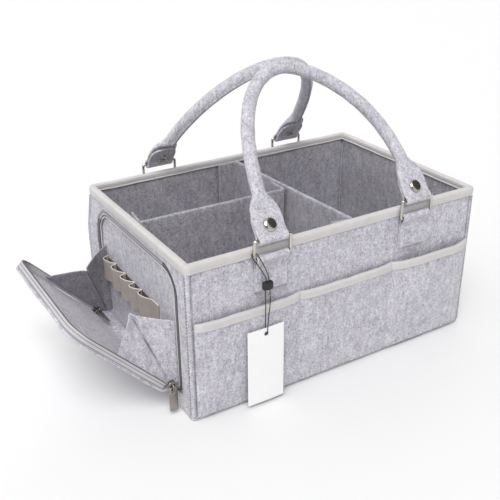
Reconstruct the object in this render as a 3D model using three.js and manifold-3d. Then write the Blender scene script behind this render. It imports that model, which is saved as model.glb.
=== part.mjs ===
import * as THREE from 'three';
import { mergeVertices } from 'three/addons/utils/BufferGeometryUtils.js';
import Module from 'manifold-3d';

const wasm = await Module();
wasm.setup();

// Felt diaper caddy. Millimetres and degrees, +Z up, origin under the middle of the floor panel.
// +X runs to the plain end, -X to the end with the zipped flap, -Y is the front.

// Body
const seamGap = 0.3;
const body = { length: 380, width: 250, height: 184, wall: 5, floor: 4.5, cornerRadius: 5 };
const rib = { proud: 0.8 };
const binding = { thickness: 0.8, outerSkirt: 10, innerSkirt: 8 };
const leftEnd = { panel: 2.5 };

// Pockets on the long sides: two division seams, given from the middle of the body
const pocket = {
  height: 119.5, felt: 3, endFelt: 1.2, endTaper: 7, bulge: 6, lean: 1.5, bindingHeight: 9,
  nearSeam: -59, farSeam: 67, columns: 6, rows: 4,
};

// Tabs, rings and handles
const tab = { offset: 95, width: 38.5, felt: 2, drop: 37.5, neck: 11 };
const ring = { wire: 3.5, width: 43, height: 20.5, drop: 11.5, cornerRadius: 3.5, play: 0.35 };
const paddle = { width: 35, felt: 3, straight: 20, loftStart: 12, neck: 45, foldRun: 5 };
const sleeve = { diameter: 14.5, felt: 2.35, slit: 0.8, coreGap: 0.5, coreSetBack: 0.9, steps: 22 };
const rivet = { dome: 15, domeHeight: 3.2, shank: 4, back: 12, backHeight: 1.4, place: 12.6 };
const frontHandle = {
  lean: 36.7, rise: 172.5, sideRoundness: 1.76, topRoundness: 2.64, skew: -11.45, lift: 6.35,
};
const backHandle = {
  lean: 39.4, rise: 166.2, sideRoundness: 2.18, topRoundness: 1.98, skew: -9.61, lift: 3.59,
};

// Zipped end pocket
const zip = { side: 22, drop: 16.5, innerRadius: 22, tape: 8, bottom: 26, thickness: 2.5, proud: 0.3 };
const flap = {
  hingeHeight: 23, length: 150, inset: 0.5, radius: 24, felt: 3, standoff: 9, bend: 18, open: 43,
};
const flapZip = { tape: 1.5, bead: 2.8, beadHeight: 2.4, lift: 1.2 };
const slider = { length: 11, width: 8, thickness: 5, bail: 1.6, bailReach: 4.2, bailSpan: 6.6 };
const pull = { length: 30, width: 10, thickness: 1.5, slot: 3.6, slotReach: 5.6, setOff: 1.2 };
const nearSlider = { out: 10.5, inset: 3.4, height: 36 };
const zipTail = { width: 5.8, thickness: 2.2, bottom: 29, inset: 1.3 };
const farSlider = { along: 26, inset: 11.5 };
const gusset = { felt: 1.2, foldOut: 37, foot: 7 };
const nearGusset = { flapReach: 88, foldIn: 30, foldTop: 110, wallTop: 106 };
const farGusset = { flapReach: 106, foldIn: 20, foldTop: 104, wallTop: 119 };
const loops = { bottom: 79, height: 27, strap: 1.2, margin: 7.5, tail: 15.5 };
const loopWidths = [25.3, 28.4, 25.5, 19.7, 25.9];
const loopBulges = [7.6, 8.4, 8.9, 8.6, 7.2];

// Dividers
const divider = { felt: 4.5, flangeFelt: 3, top: 179, flange: 25, hook: 0.8, hookWidth: 18, hookMargin: 22 };
const crossDivider = { x: 10.8, skew: 5 };
const longDivider = { y: -1.2, flange: 26 };

// Hang tag
const tag = {
  width: 44.5, height: 92, thickness: 0.8, left: -129.5, bottom: 4, y: -137.3,
  hole: 5, holeX: -107, holeDrop: 7,
};
const seal = { width: 11, height: 9, thickness: 5, x: -104.5, y: -136.5, z: 144.5, edge: 1 };
const tagCord = { diameter: 1, sides: 8, steps: 34 };

// Routes of the two cord loops, chosen by hand: seal to ring and back, and seal to card and back
const upperCordRoute = [
  [-103, -136.5, 149.3], [-104, -136.7, 155], [-105.6, -136.8, 160], [-107.8, -136.7, 165.5],
  [-110.2, -136.4, 170.5], [-112.2, -135.6, 175], [-113.4, -133.8, 178.2], [-113.7, -131.4, 179.6],
  [-114.6, -129, 180], [-116.5, -127.9, 179.8], [-118.4, -128.8, 179], [-119.4, -131, 177.8],
  [-118.9, -133.2, 176], [-117.2, -134.8, 172.8], [-114.8, -135.8, 168.6], [-112, -136.5, 163.6],
  [-109, -136.8, 158], [-107, -136.7, 154], [-106, -136.5, 149.3],
];
const lowerCordRoute = [
  [-107, -136.5, 139.7], [-107.5, -137, 133.5], [-107.8, -137.8, 127.5], [-107.9, -138, 121],
  [-107.9, -138, 114], [-107.7, -137.6, 107.5], [-107.4, -136.7, 101.5], [-107.1, -136.3, 96.5],
  [-107, -136.3, 91.8], [-107, -137, 89.6], [-107, -138.3, 88.8], [-107, -139.6, 89.6],
  [-106.9, -140.3, 91.8], [-106.5, -139.9, 97], [-105.4, -139, 103.5], [-104.2, -138.4, 111],
  [-103, -138.1, 119], [-102.2, -137.8, 127], [-102, -137, 133.5], [-102, -136.5, 139.7],
];

// Materials
const finish = (color, roughness, metalness = 0) => new THREE.MeshStandardMaterial({ color, roughness, metalness });
const felt = () => finish(0xc9c7d0, 0.95);
const bindingCloth = () => finish(0xbdb8b2, 0.85);
const zipTape = () => finish(0x55555c, 0.8);
const nickel = () => finish(0xb9b7b0, 0.25, 1);
const gunmetal = () => finish(0x5b5650, 0.3, 1);
const elastic = () => finish(0x8f877e, 0.8);
const cotton = () => finish(0xb8b2a6, 0.9);
const hookTape = () => finish(0xb4b2ba, 0.8);
const card = () => finish(0xf4f4f4, 0.7);
const blackPlastic = () => finish(0x101012, 0.5);

// Derived places
const halfLength = body.length / 2;
const halfWidth = body.width / 2;
const wallBottom = body.floor + seamGap;
const wallTop = body.height - binding.thickness - seamGap;
const bindingStand = binding.thickness + seamGap;
const rimFaceIn = body.wall + bindingStand;
const ringHole = ring.wire / 2 + ring.play;
const ringOut = bindingStand + seamGap + tab.felt + ringHole;
const lowerBar = body.height - ring.drop;
const upperBar = lowerBar + ring.height;

// General shapes

const degrees = THREE.MathUtils.degToRad;
const alongX = new THREE.Matrix4().makeBasis(
  new THREE.Vector3(0, 1, 0), new THREE.Vector3(0, 0, 1), new THREE.Vector3(1, 0, 0));
const alongY = new THREE.Matrix4().makeBasis(
  new THREE.Vector3(1, 0, 0), new THREE.Vector3(0, 0, 1), new THREE.Vector3(0, -1, 0));

// One closed skin with shared corners, without the flat triangles that a pole leaves
function skin(geometry) {
  const bare = geometry.clone();
  bare.deleteAttribute('normal');
  bare.deleteAttribute('uv');
  const shared = mergeVertices(bare);
  const kept = [];
  const index = shared.index.array;
  for (let i = 0; i < index.length; i += 3) {
    const [a, b, c] = index.slice(i, i + 3);
    if (a !== b && b !== c && c !== a) kept.push(a, b, c);
  }
  shared.setIndex(kept);
  return shared;
}

function solid(geometry) {
  const shared = skin(geometry);
  return new wasm.Manifold(new wasm.Mesh({
    numProp: 3,
    vertProperties: Float32Array.from(shared.attributes.position.array),
    triVerts: Uint32Array.from(shared.index.array),
  }));
}

function geometryOf(manifold) {
  const mesh = manifold.getMesh();
  const geometry = new THREE.BufferGeometry();
  geometry.setAttribute('position', new THREE.BufferAttribute(mesh.vertProperties, 3));
  geometry.setIndex(new THREE.BufferAttribute(mesh.triVerts, 1));
  return geometry;
}

const join = (...parts) => geometryOf(parts.map(solid).reduce((sum, part) => sum.add(part)));

function cut(base, ...tools) {
  return geometryOf(tools.map(solid).reduce((rest, tool) => rest.subtract(tool), solid(base)));
}

// Rectangle with rounded corners; the lower two may have a radius of their own
function roundedRect(x0, y0, x1, y1, radius, lower = radius) {
  const shape = new THREE.Shape();
  shape.moveTo(x0 + lower, y0);
  shape.lineTo(x1 - lower, y0);
  if (lower > 0) shape.absarc(x1 - lower, y0 + lower, lower, -Math.PI / 2, 0);
  shape.lineTo(x1, y1 - radius);
  if (radius > 0) shape.absarc(x1 - radius, y1 - radius, radius, 0, Math.PI / 2);
  shape.lineTo(x0 + radius, y1);
  if (radius > 0) shape.absarc(x0 + radius, y1 - radius, radius, Math.PI / 2, Math.PI);
  shape.lineTo(x0, y0 + lower);
  if (lower > 0) shape.absarc(x0 + lower, y0 + lower, lower, Math.PI, Math.PI * 3 / 2);
  return shape;
}

function extrude(shape, depth, curveSegments = 4, bevel = 0) {
  return new THREE.ExtrudeGeometry(shape, {
    depth, curveSegments, steps: 1, bevelEnabled: bevel > 0, bevelSize: bevel, bevelThickness: bevel,
    bevelOffset: -bevel, bevelSegments: 1,
  });
}

const upright = (shape, bottom, top, segments) => extrude(shape, top - bottom, segments).translate(0, 0, bottom);

// Prism along X from a shape drawn in Y and Z, and along Y from one drawn in X and Z
const prismX = (shape, x0, x1, segments) => (
  extrude(shape, x1 - x0, segments).applyMatrix4(alongX).translate(x0, 0, 0)
);
const prismY = (shape, y0, y1, segments) => (
  extrude(shape, y1 - y0, segments).applyMatrix4(alongY).translate(0, y1, 0)
);

function block(x0, y0, z0, x1, y1, z1) {
  return new THREE.BoxGeometry(x1 - x0, y1 - y0, z1 - z0)
    .translate((x0 + x1) / 2, (y0 + y1) / 2, (z0 + z1) / 2);
}

// Sheet or bar bent to a formula: place gets shares from 0 to 1 along X, Y and Z and returns a point
function bent(nx, ny, nz, place) {
  const geometry = new THREE.BoxGeometry(1, 1, 1, nx, ny, nz);
  const position = geometry.attributes.position;
  const point = new THREE.Vector3();
  for (let i = 0; i < position.count; i += 1) {
    point.fromBufferAttribute(position, i).addScalar(1 / 2);
    position.setXYZ(i, ...place(point.x, point.y, point.z));
  }
  return geometry;
}

const parts = new THREE.Group();

function add(name, geometry, material, parent = parts) {
  const mesh = new THREE.Mesh(skin(geometry), material);
  mesh.name = name;
  parent.add(mesh);
  return mesh;
}

// Half a turn about Z takes a piece of the back to the front
const turned = (geometry) => geometry.clone().rotateZ(Math.PI);

// Floor, walls and ribs

add('floor_panel', upright(
  roundedRect(-halfLength, -halfWidth, halfLength, halfWidth, body.cornerRadius), 0, body.floor), felt());

const wallEndX = halfLength - body.wall - seamGap;
const wallEndY = halfWidth - body.wall - seamGap;
add('front_wall', block(-wallEndX, -halfWidth, wallBottom, wallEndX, body.wall - halfWidth, wallTop), felt());
add('back_wall', block(-wallEndX, halfWidth - body.wall, wallBottom, wallEndX, halfWidth, wallTop), felt());
add('right_end_wall', block(halfLength - body.wall, -wallEndY, wallBottom, halfLength, wallEndY, wallTop), felt());
add('left_end_wall', block(
  body.wall - halfLength - leftEnd.panel, -wallEndY, wallBottom,
  body.wall - halfLength, wallEndY, wallTop,
), felt());

// The ribs stand proud of the walls up to the binding, and go on flush under it
function cornerRib(signX, signY) {
  const inner = [halfLength - body.wall, halfWidth - body.wall];
  const bar = (proud, top) => {
    const side = body.wall + proud;
    const shape = new THREE.Shape();
    const round = body.cornerRadius;
    shape.moveTo(0, 0);
    shape.lineTo(side, 0);
    shape.lineTo(side, side - round);
    shape.absarc(side - round, side - round, round, 0, Math.PI / 2);
    shape.lineTo(0, side);
    return upright(shape, wallBottom, top);
  };
  const rise = join(bar(rib.proud, body.height - binding.outerSkirt - seamGap), bar(0, wallTop));
  const turns = { '1,1': 0, '-1,1': 1, '-1,-1': 2, '1,-1': 3 };
  const quarter = turns[`${signX},${signY}`];
  return rise.rotateZ(quarter * Math.PI / 2).translate(signX * inner[0], signY * inner[1], 0);
}
add('corner_rib_front_left', cornerRib(-1, -1), bindingCloth());
add('corner_rib_front_right', cornerRib(1, -1), bindingCloth());
add('corner_rib_back_left', cornerRib(-1, 1), bindingCloth());
add('corner_rib_back_right', cornerRib(1, 1), bindingCloth());

// Rim binding: a channel that straddles the wall tops
function rimRing(outward, inward, bottom, top) {
  const at = (offset) => {
    const radius = Math.max(body.cornerRadius + offset, seamGap);
    return roundedRect(-halfLength - offset, -halfWidth - offset, halfLength + offset, halfWidth + offset, radius);
  };
  const shape = at(outward);
  shape.holes.push(at(-inward));
  return upright(shape, bottom, top);
}
const skirtBottom = body.height - binding.outerSkirt;
add('rim_binding', cut(
  rimRing(bindingStand, rimFaceIn, skirtBottom, body.height),
  rimRing(seamGap, body.wall + seamGap, skirtBottom - binding.thickness, body.height - binding.thickness),
  rimRing(
    -body.wall / 2, rimFaceIn + binding.thickness,
    skirtBottom - binding.thickness, body.height - binding.innerSkirt,
  ),
), bindingCloth());

// Pockets

const pocketTop = pocket.height - bindingStand;
const pocketEnd = wallEndX - seamGap;
const pocketSeams = [-pocketEnd, pocket.nearSeam, pocket.farSeam, pocketEnd];

// Distance of the pocket's inner face from the wall, growing with height and between the seams
function pocketGape(share, height) {
  const across = 1 - (2 * share - 1) ** 4;
  const up = 1 - (1 - height / pocketTop) ** 2.2;
  return seamGap + pocket.lean * height / pocketTop + pocket.bulge * across * up;
}

function pocketSheet(bottom, top, grow, rows) {
  const pockets = pocketSeams.length - 1;
  return bent(pockets * pocket.columns, 1, rows, (sx, sy, sz) => {
    const index = Math.min(Math.floor(sx * pockets + 1e-6), pockets - 1);
    const share = sx * pockets - index;
    const x = pocketSeams[index] + (pocketSeams[index + 1] - pocketSeams[index]) * share;
    const z = bottom + (top - bottom) * sz;
    const fade = Math.min((pocketEnd - Math.abs(x)) / pocket.endTaper, 1);
    const thickness = pocket.endFelt + (pocket.felt - pocket.endFelt) * fade;
    const near = halfWidth + pocketGape(share, Math.min(z, pocketTop)) - grow;
    return [x, -near - (thickness + 2 * grow) * (1 - sy), z];
  });
}

const frontPocket = pocketSheet(wallBottom, pocketTop, 0, pocket.rows);
const bindingBottom = pocket.height - pocket.bindingHeight;
const frontPocketBinding = cut(
  pocketSheet(bindingBottom, pocket.height, bindingStand, 1),
  pocketSheet(bindingBottom - binding.thickness, pocketTop + seamGap, seamGap, 1),
);
add('front_pocket_panel', frontPocket, felt());
add('front_pocket_binding', frontPocketBinding, bindingCloth());
add('back_pocket_panel', turned(frontPocket), felt());
add('back_pocket_binding', turned(frontPocketBinding), bindingCloth());

// Tabs: two plies sewn flat, with a loop round the ring's lower bar

function tabSolid() {
  const ply = 2 * tab.felt;
  const loop = ringHole + tab.felt;
  const shape = new THREE.Shape();
  shape.moveTo(seamGap, lowerBar - tab.drop);
  shape.lineTo(seamGap + ply, lowerBar - tab.drop);
  shape.lineTo(seamGap + ply, lowerBar - tab.neck);
  shape.absarc(ringOut, lowerBar, loop, -Math.PI / 4, Math.PI);
  shape.lineTo(ringOut - loop, lowerBar);
  shape.lineTo(seamGap, lowerBar - tab.neck);
  const hole = new THREE.Path();
  hole.absarc(ringOut, lowerBar, ringHole, 0, 2 * Math.PI, true);
  shape.holes.push(hole);
  return prismX(shape, -tab.width / 2, tab.width / 2, 5).translate(0, halfWidth, 0);
}

function ringSolid() {
  const r = ring.wire / 2;
  const outer = roundedRect(
    -ring.width / 2 - r, -r, ring.width / 2 + r, ring.height + r, ring.cornerRadius);
  outer.holes.push(roundedRect(
    -ring.width / 2 + r, r, ring.width / 2 - r, ring.height - r, (ring.width - ring.wire - tab.width) / 2));
  const bevel = r * (2 - Math.SQRT2);
  const geometry = extrude(outer, ring.wire - 2 * bevel, 2, bevel);
  return geometry.translate(0, 0, bevel - r).applyMatrix4(alongY)
    .translate(0, halfWidth + ringOut, lowerBar);
}

for (const [side, place] of [['back', (g) => g], ['front', turned]]) {
  const sign = side === 'back' ? 1 : -1;
  for (const [end, x] of [['left', -tab.offset], ['right', tab.offset]]) {
    add(`handle_tab_${side}_${end}`, place(tabSolid().translate(sign * x, 0, 0)), felt());
    add(`ring_${side}_${end}`, place(ringSolid().translate(sign * x, 0, 0)), nickel());
  }
}

// Handles: built in their own plane, X across and Z along, hinged at the rings' upper bars

// Arch between the rings: a squared-off half ellipse, pushed a little to one side
class Arch extends THREE.Curve {
  constructor(shape, start) {
    super();
    this.shape = shape;
    this.start = start;
  }

  at(angle) {
    const { rise, sideRoundness, topRoundness, skew, lift } = this.shape;
    const c = Math.cos(angle);
    const s = Math.sin(angle);
    const x = -tab.offset * Math.sign(c) * Math.abs(c) ** (2 / sideRoundness) + skew * s * s;
    return new THREE.Vector3(x, 0, rise * Math.abs(s) ** (2 / topRoundness) + lift * Math.sin(2 * angle));
  }

  // Angle at which the left or right leg reaches a height
  angleAt(height, left) {
    let low = 0;
    let high = Math.PI / 2;
    for (let i = 0; i < 40; i += 1) {
      const middle = (low + high) / 2;
      if (this.at(left ? middle : Math.PI - middle).z < height) low = middle;
      else high = middle;
    }
    return left ? low : Math.PI - low;
  }

  getPoint(t, target = new THREE.Vector3()) {
    const from = this.angleAt(this.start, true);
    const to = this.angleAt(this.start, false);
    return target.copy(this.at(from + (to - from) * t));
  }
}

function sleeveSection() {
  const outer = sleeve.diameter / 2;
  const inner = outer - sleeve.felt;
  const outerSlit = sleeve.slit / 2 / outer;
  const innerSlit = sleeve.slit / 2 / inner;
  const seam = Math.PI / 2;
  const shape = new THREE.Shape();
  shape.absarc(0, 0, outer, seam + outerSlit, seam + 2 * Math.PI - outerSlit, false);
  shape.absarc(0, 0, inner, seam + 2 * Math.PI - innerSlit, seam + innerSlit, true);
  return shape;
}

function roundSection(radius) {
  const shape = new THREE.Shape();
  shape.absarc(0, 0, radius, 0, 2 * Math.PI);
  return shape;
}

// Flat, folded end that thickens and narrows to the round sleeve
const paddleHeightShares = [0, 0.3, 0.6, 0.82, 1];
const paddleWidthShares = [1, 1, 0.8, 0.4, 0];
const paddleDepthShares = [0, 0, 0.15, 0.55, 1];
const paddleSquareness = [8, 8, 6, 3, 2];

function paddleSolid(arch, left) {
  const flat = paddle.felt + seamGap / 2;
  const fold = ringHole + paddle.felt;
  const x = left ? -tab.offset : tab.offset;
  const shape = new THREE.Shape();
  shape.moveTo(flat, paddle.straight);
  shape.lineTo(-flat, paddle.straight);
  shape.lineTo(-flat, paddle.foldRun);
  shape.lineTo(-fold, 0);
  shape.absarc(0, 0, fold, Math.PI, 2 * Math.PI);
  shape.lineTo(flat, paddle.foldRun);
  const hole = new THREE.Path();
  hole.absarc(0, 0, ringHole, 0, 2 * Math.PI, true);
  shape.holes.push(hole);
  const foldPart = prismX(shape, x - paddle.width / 2, x + paddle.width / 2, 5);

  const rings = paddleHeightShares.length - 1;
  const loft = new THREE.CylinderGeometry(1, 1, 1, 12, rings);
  const position = loft.attributes.position;
  const round = sleeve.diameter / 2;
  const unit = (value, power) => (
    Math.abs(value) < 1e-6 ? 0 : Math.sign(value) * Math.abs(value) ** (2 / power)
  );
  for (let i = 0; i < position.count; i += 1) {
    const station = Math.round((position.getY(i) + 1 / 2) * rings);
    const height = paddle.loftStart + (paddle.neck - paddle.loftStart) * paddleHeightShares[station];
    const wide = round + (paddle.width / 2 - round) * paddleWidthShares[station];
    const deep = flat + (round - flat) * paddleDepthShares[station];
    const centre = arch.at(arch.angleAt(height, left)).x;
    const middle = height > paddle.straight ? centre : x;
    position.setXYZ(i,
      middle + wide * unit(position.getX(i), paddleSquareness[station]),
      -deep * unit(position.getZ(i), paddleSquareness[station]), height);
  }
  return [foldPart, loft];
}

function rivetSolid() {
  const flat = paddle.felt + seamGap / 2 + seamGap;
  const dome = [];
  const sag = rivet.domeHeight;
  for (let i = 0; i <= 4; i += 1) {
    const angle = i / 4 * Math.PI / 2;
    dome.push(new THREE.Vector2(rivet.dome / 2 * Math.sin(angle), flat + sag * Math.cos(angle)));
  }
  const profile = [
    ...dome,
    new THREE.Vector2(rivet.shank / 2, flat),
    new THREE.Vector2(rivet.shank / 2, -flat),
    new THREE.Vector2(rivet.back / 2, -flat),
    new THREE.Vector2(rivet.back / 2 - rivet.backHeight / 2, -flat - rivet.backHeight),
    new THREE.Vector2(0, -flat - rivet.backHeight),
  ];
  return new THREE.LatheGeometry(profile.reverse(), 12).rotateX(Math.PI);
}

function addHandle(name, shape, signY) {
  const plane = new THREE.Group();
  plane.position.set(0, signY * (halfWidth + ringOut), upperBar);
  plane.rotation.set(-degrees(shape.lean), 0, signY > 0 ? Math.PI : 0, 'ZYX');
  parts.add(plane);

  const arch = new Arch(shape, paddle.neck - seamGap * 2);
  const tube = new THREE.ExtrudeGeometry(sleeveSection(), {
    extrudePath: arch, steps: sleeve.steps, curveSegments: 5, bevelEnabled: false,
  });
  const holes = [-tab.offset, tab.offset].map((x) => {
    const drill = rivet.shank / 2 + seamGap;
    return new THREE.CylinderGeometry(drill, drill, paddle.felt * 4, 8).translate(x, 0, rivet.place);
  });
  const cloth = join(tube, ...paddleSolid(arch, true), ...paddleSolid(arch, false));
  add(name, cut(cloth, ...holes), felt(), plane);

  const core = new Arch(shape, paddle.neck + sleeve.coreSetBack);
  add(`${name}_core`, new THREE.ExtrudeGeometry(roundSection(sleeve.diameter / 2 - sleeve.felt - sleeve.coreGap), {
    extrudePath: core, steps: sleeve.steps, curveSegments: 3, bevelEnabled: false,
  }), cotton(), plane);

  const ends = { left: signY * tab.offset, right: -signY * tab.offset };
  for (const [end, x] of Object.entries(ends)) {
    add(`${name}_rivet_${end}`, rivetSolid().translate(x, 0, rivet.place), gunmetal(), plane);
  }
}
addHandle('front_handle', frontHandle, -1);
addHandle('back_handle', backHandle, 1);

// Zipped end: a felt border with a window, the wall's zip tape in it, and the panel behind

const borderFace = -halfLength;
const borderBack = body.wall - halfLength - leftEnd.panel - seamGap;
const zipOuterHalf = halfWidth - zip.side;
const zipInnerHalf = zipOuterHalf - zip.tape;
const zipOuterTop = body.height - zip.drop;
const zipOuterRadius = zip.innerRadius + zip.tape;
const windowBottom = flap.hingeHeight - flap.felt / 2 - seamGap;

const borderShape = roundedRect(-wallEndY, wallBottom, wallEndY, wallTop, 0);
borderShape.holes.push(roundedRect(
  -zipOuterHalf - seamGap, windowBottom, zipOuterHalf + seamGap, zipOuterTop + seamGap,
  zipOuterRadius + seamGap, 0,
));
add('left_end_border', prismX(borderShape, borderFace, borderBack, 5), felt());

// Band along an arched outline, open at its foot
function archBand(half, top, radius, foot, band) {
  const shape = new THREE.Shape();
  shape.moveTo(-half, foot);
  shape.lineTo(band - half, foot);
  shape.lineTo(band - half, top - radius);
  shape.absarc(radius - half, top - radius, radius - band, Math.PI, Math.PI / 2, true);
  shape.absarc(half - radius, top - radius, radius - band, Math.PI / 2, 0, true);
  shape.lineTo(half - band, foot);
  shape.lineTo(half, foot);
  shape.lineTo(half, top - radius);
  shape.absarc(half - radius, top - radius, radius, 0, Math.PI / 2);
  shape.absarc(radius - half, top - radius, radius, Math.PI / 2, Math.PI);
  return shape;
}

const zipFace = -halfLength - zip.proud;
const zipBand = prismX(
  archBand(zipOuterHalf, zipOuterTop, zipOuterRadius, zip.bottom, zip.tape), zipFace, zipFace + zip.thickness, 5);

// Closed end of the zip chain, which leads from the wall tape to the near slider
const tailTop = [-halfLength - nearSlider.out, nearSlider.height - slider.length / 2 - seamGap];
const zipTailBar = bent(1, 1, 1, (sx, sy, sz) => {
  const x = zipFace + zip.thickness / 2 + (tailTop[0] - zipFace - zip.thickness / 2) * sz;
  const z = zipTail.bottom + (tailTop[1] - zipTail.bottom) * sz;
  return [
    x + zipTail.thickness * (sx - 1 / 2),
    zipTail.inset - zipOuterHalf + zipTail.width * sy,
    z - zipTail.thickness * (1 - sx),
  ];
});
add('wall_zip_half', join(zipBand, zipTailBar), zipTape());

// Flap, built closed about its hinge line and opened by its angle
const flapHalf = zipInnerHalf - flap.inset;
const flapGroup = new THREE.Group();
flapGroup.position.set(-halfLength, 0, flap.hingeHeight);
flapGroup.rotation.y = -degrees(flap.open);
parts.add(flapGroup);

function flapStand(along) {
  const share = Math.min(along / flap.bend, 1);
  return (flap.standoff + flap.felt / 2) * share * share * (3 - 2 * share) - flap.felt / 2;
}

const flapRowShares = [0, 0.03, 0.06, 0.09, 0.123, 0.45, 0.837, 0.87, 0.91, 0.945, 0.975, 0.993, 1];
add('end_flap', bent(1, 6, flapRowShares.length - 1, (sx, sy, sz) => {
  const along = flap.length * flapRowShares[Math.round(sz * (flapRowShares.length - 1))];
  const over = Math.max(along - (flap.length - flap.radius), 0);
  const half = flapHalf - flap.radius + Math.sqrt(Math.max(flap.radius ** 2 - over ** 2, 0));
  return [-flapStand(along) - flap.felt * (1 - sx), half * (2 * sy - 1), along];
}), felt(), flapGroup);

const flapZipFoot = flap.bend + seamGap;
const flapBand = (band) => archBand(flapHalf, flap.length, flap.radius, flapZipFoot, band);
add('flap_zip_half', join(
  prismX(flapBand(flapZip.tape), seamGap - flap.standoff, -flapZip.lift, 4),
  prismX(flapBand(flapZip.bead), -flapZip.lift - flapZip.beadHeight, -flapZip.lift, 4),
), zipTape(), flapGroup);

// Zip slider with a bail, and the pull whose top bar turns under the bail.
// Both are drawn with the pull hanging along -Z and the slider's face towards -Y.
function sliderSolid() {
  const half = slider.bailSpan / 2;
  const plate = roundedRect(
    -slider.width / 2, -slider.length / 2, slider.width / 2, slider.length / 2, slider.width / 4,
  );
  const edge = slider.thickness / 6;
  const bodyPart = extrude(plate, slider.thickness - 2 * edge, 3, edge)
    .translate(0, 0, edge).applyMatrix4(alongY);
  const bail = new THREE.Shape();
  const sink = slider.thickness / 2;
  bail.moveTo(sink, -half);
  bail.lineTo(sink, -half + slider.bail);
  bail.lineTo(-slider.bailReach + slider.bail, -half + slider.bail);
  bail.lineTo(-slider.bailReach + slider.bail, half - slider.bail);
  bail.lineTo(sink, half - slider.bail);
  bail.lineTo(sink, half);
  bail.lineTo(-slider.bailReach, half);
  bail.lineTo(-slider.bailReach, -half);
  return join(
    bodyPart.translate(0, slider.thickness, 0), prismX(bail, -slider.bail / 2, slider.bail / 2));
}

function pullSolid() {
  const bar = pull.thickness / 2;
  const shape = roundedRect(-pull.width / 2, -pull.length, pull.width / 2, bar, pull.width / 5);
  shape.holes.push(roundedRect(-pull.slot / 2, -pull.slotReach, pull.slot / 2, -bar, 0));
  return prismY(shape, -pull.thickness / 2, pull.thickness / 2, 3).translate(0, -pull.setOff, 0);
}

const nearGroup = new THREE.Group();
nearGroup.position.set(
  tailTop[0], nearSlider.inset - zipOuterHalf - slider.thickness / 2, nearSlider.height,
);
parts.add(nearGroup);
add('near_zip_slider', sliderSolid(), gunmetal(), nearGroup);
add('near_zip_pull', pullSolid(), gunmetal(), nearGroup);

const farGroup = new THREE.Group();
farGroup.position.set(slider.thickness + seamGap - flap.standoff, flapHalf - farSlider.inset, farSlider.along);
farGroup.rotation.setFromRotationMatrix(new THREE.Matrix4().makeBasis(
  new THREE.Vector3(0, 0, -1), new THREE.Vector3(-1, 0, 0), new THREE.Vector3(0, 1, 0)));
flapGroup.add(farGroup);
add('far_zip_slider', sliderSolid(), gunmetal(), farGroup);
add('far_zip_pull', pullSolid(), gunmetal(), farGroup);

// Gussets: folded inwards between the panel and the flap, drawn for the open flap
function gussetSolid(own, sign) {
  const panelFace = borderBack + seamGap;
  const opened = (along, out) => {
    const a = degrees(flap.open);
    return [
      -halfLength - along * Math.sin(a) - out * Math.cos(a),
      flap.hingeHeight + along * Math.cos(a) - out * Math.sin(a),
    ];
  };
  const edgeOut = flapZip.lift + flapZip.beadHeight + gusset.felt;
  const wallX = panelFace - seamGap;
  const footHeight = flap.hingeHeight + gusset.foot;
  const flapFoot = opened(flapZipFoot, edgeOut);
  const flapTop = opened(own.flapReach, edgeOut);
  const half = flapHalf - flapZip.bead - gusset.felt / 2 - seamGap;
  const rows = [
    [
      [wallX, half, footHeight],
      [(wallX + flapFoot[0]) / 2, half - gusset.felt, footHeight],
      [flapFoot[0], half, flapFoot[1]],
    ],
    [[wallX, half, own.wallTop], [panelFace - gusset.foldOut, half - own.foldIn, own.foldTop],
      [flapTop[0], half, flapTop[1]]],
  ];
  const blend = (a, b, t) => a.map((value, i) => value + (b[i] - value) * t);
  return bent(4, 1, 3, (sx, sy, sz) => {
    const row = (points) => (
      sx < 1 / 2 ? blend(points[2], points[1], sx * 2) : blend(points[1], points[0], sx * 2 - 1)
    );
    const [x, y, z] = blend(row(rows[0]), row(rows[1]), sz);
    const side = sign > 0 ? y + gusset.felt * (sy - 1 / 2) : -y + gusset.felt * (sy - 1 / 2);
    return [x, side, z];
  });
}
add('near_gusset', gussetSolid(nearGusset, -1), felt());
add('far_gusset', gussetSolid(farGusset, 1), felt());

// Elastic strap sewn down between the pen loops
function ribbon(points, thickness) {
  const line = points.map(([x, y]) => new THREE.Vector2(x, y));
  const sides = [1, -1].map((sign) => line.map((point, i) => {
    const before = line[Math.max(i - 1, 0)];
    const after = line[Math.min(i + 1, line.length - 1)];
    const along = after.clone().sub(before).normalize();
    return point.clone().add(new THREE.Vector2(-along.y, along.x).multiplyScalar(sign * thickness / 2));
  }));
  return new THREE.Shape([...sides[0], ...sides[1].reverse()]);
}

// Each loop stands straight off its first seam and slopes back to its second
const loopShares = [0, 0.05, 0.13, 0.26, 0.45, 0.66, 0.85];
const loopSwellShares = [0, 0.62, 0.93, 1, 0.85, 0.55, 0.22];

function loopPath() {
  const face = borderBack + seamGap;
  const base = face - seamGap - loops.strap / 2;
  const path = [];
  let y = zipInnerHalf - loops.margin;
  loopWidths.forEach((width, index) => {
    loopShares.forEach((share, i) => {
      path.push([base - loopBulges[index] * loopSwellShares[i], y - width * share]);
    });
    y -= width;
  });
  path.push([base, y], [base, y - loops.tail]);
  return path;
}
const loopBand = upright(ribbon(loopPath(), loops.strap), loops.bottom, loops.bottom + loops.height);
add('pen_loop_strip', loopBand, elastic());

// Dividers: a board with a folded end at each wall, and hook tape behind the folds

const dividerBottom = body.floor + seamGap;
const hookOut = rimFaceIn + seamGap;
const flangeOut = hookOut + divider.hook + seamGap;
const hookZ = [dividerBottom + divider.hookMargin, divider.top - divider.hookMargin];

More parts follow.
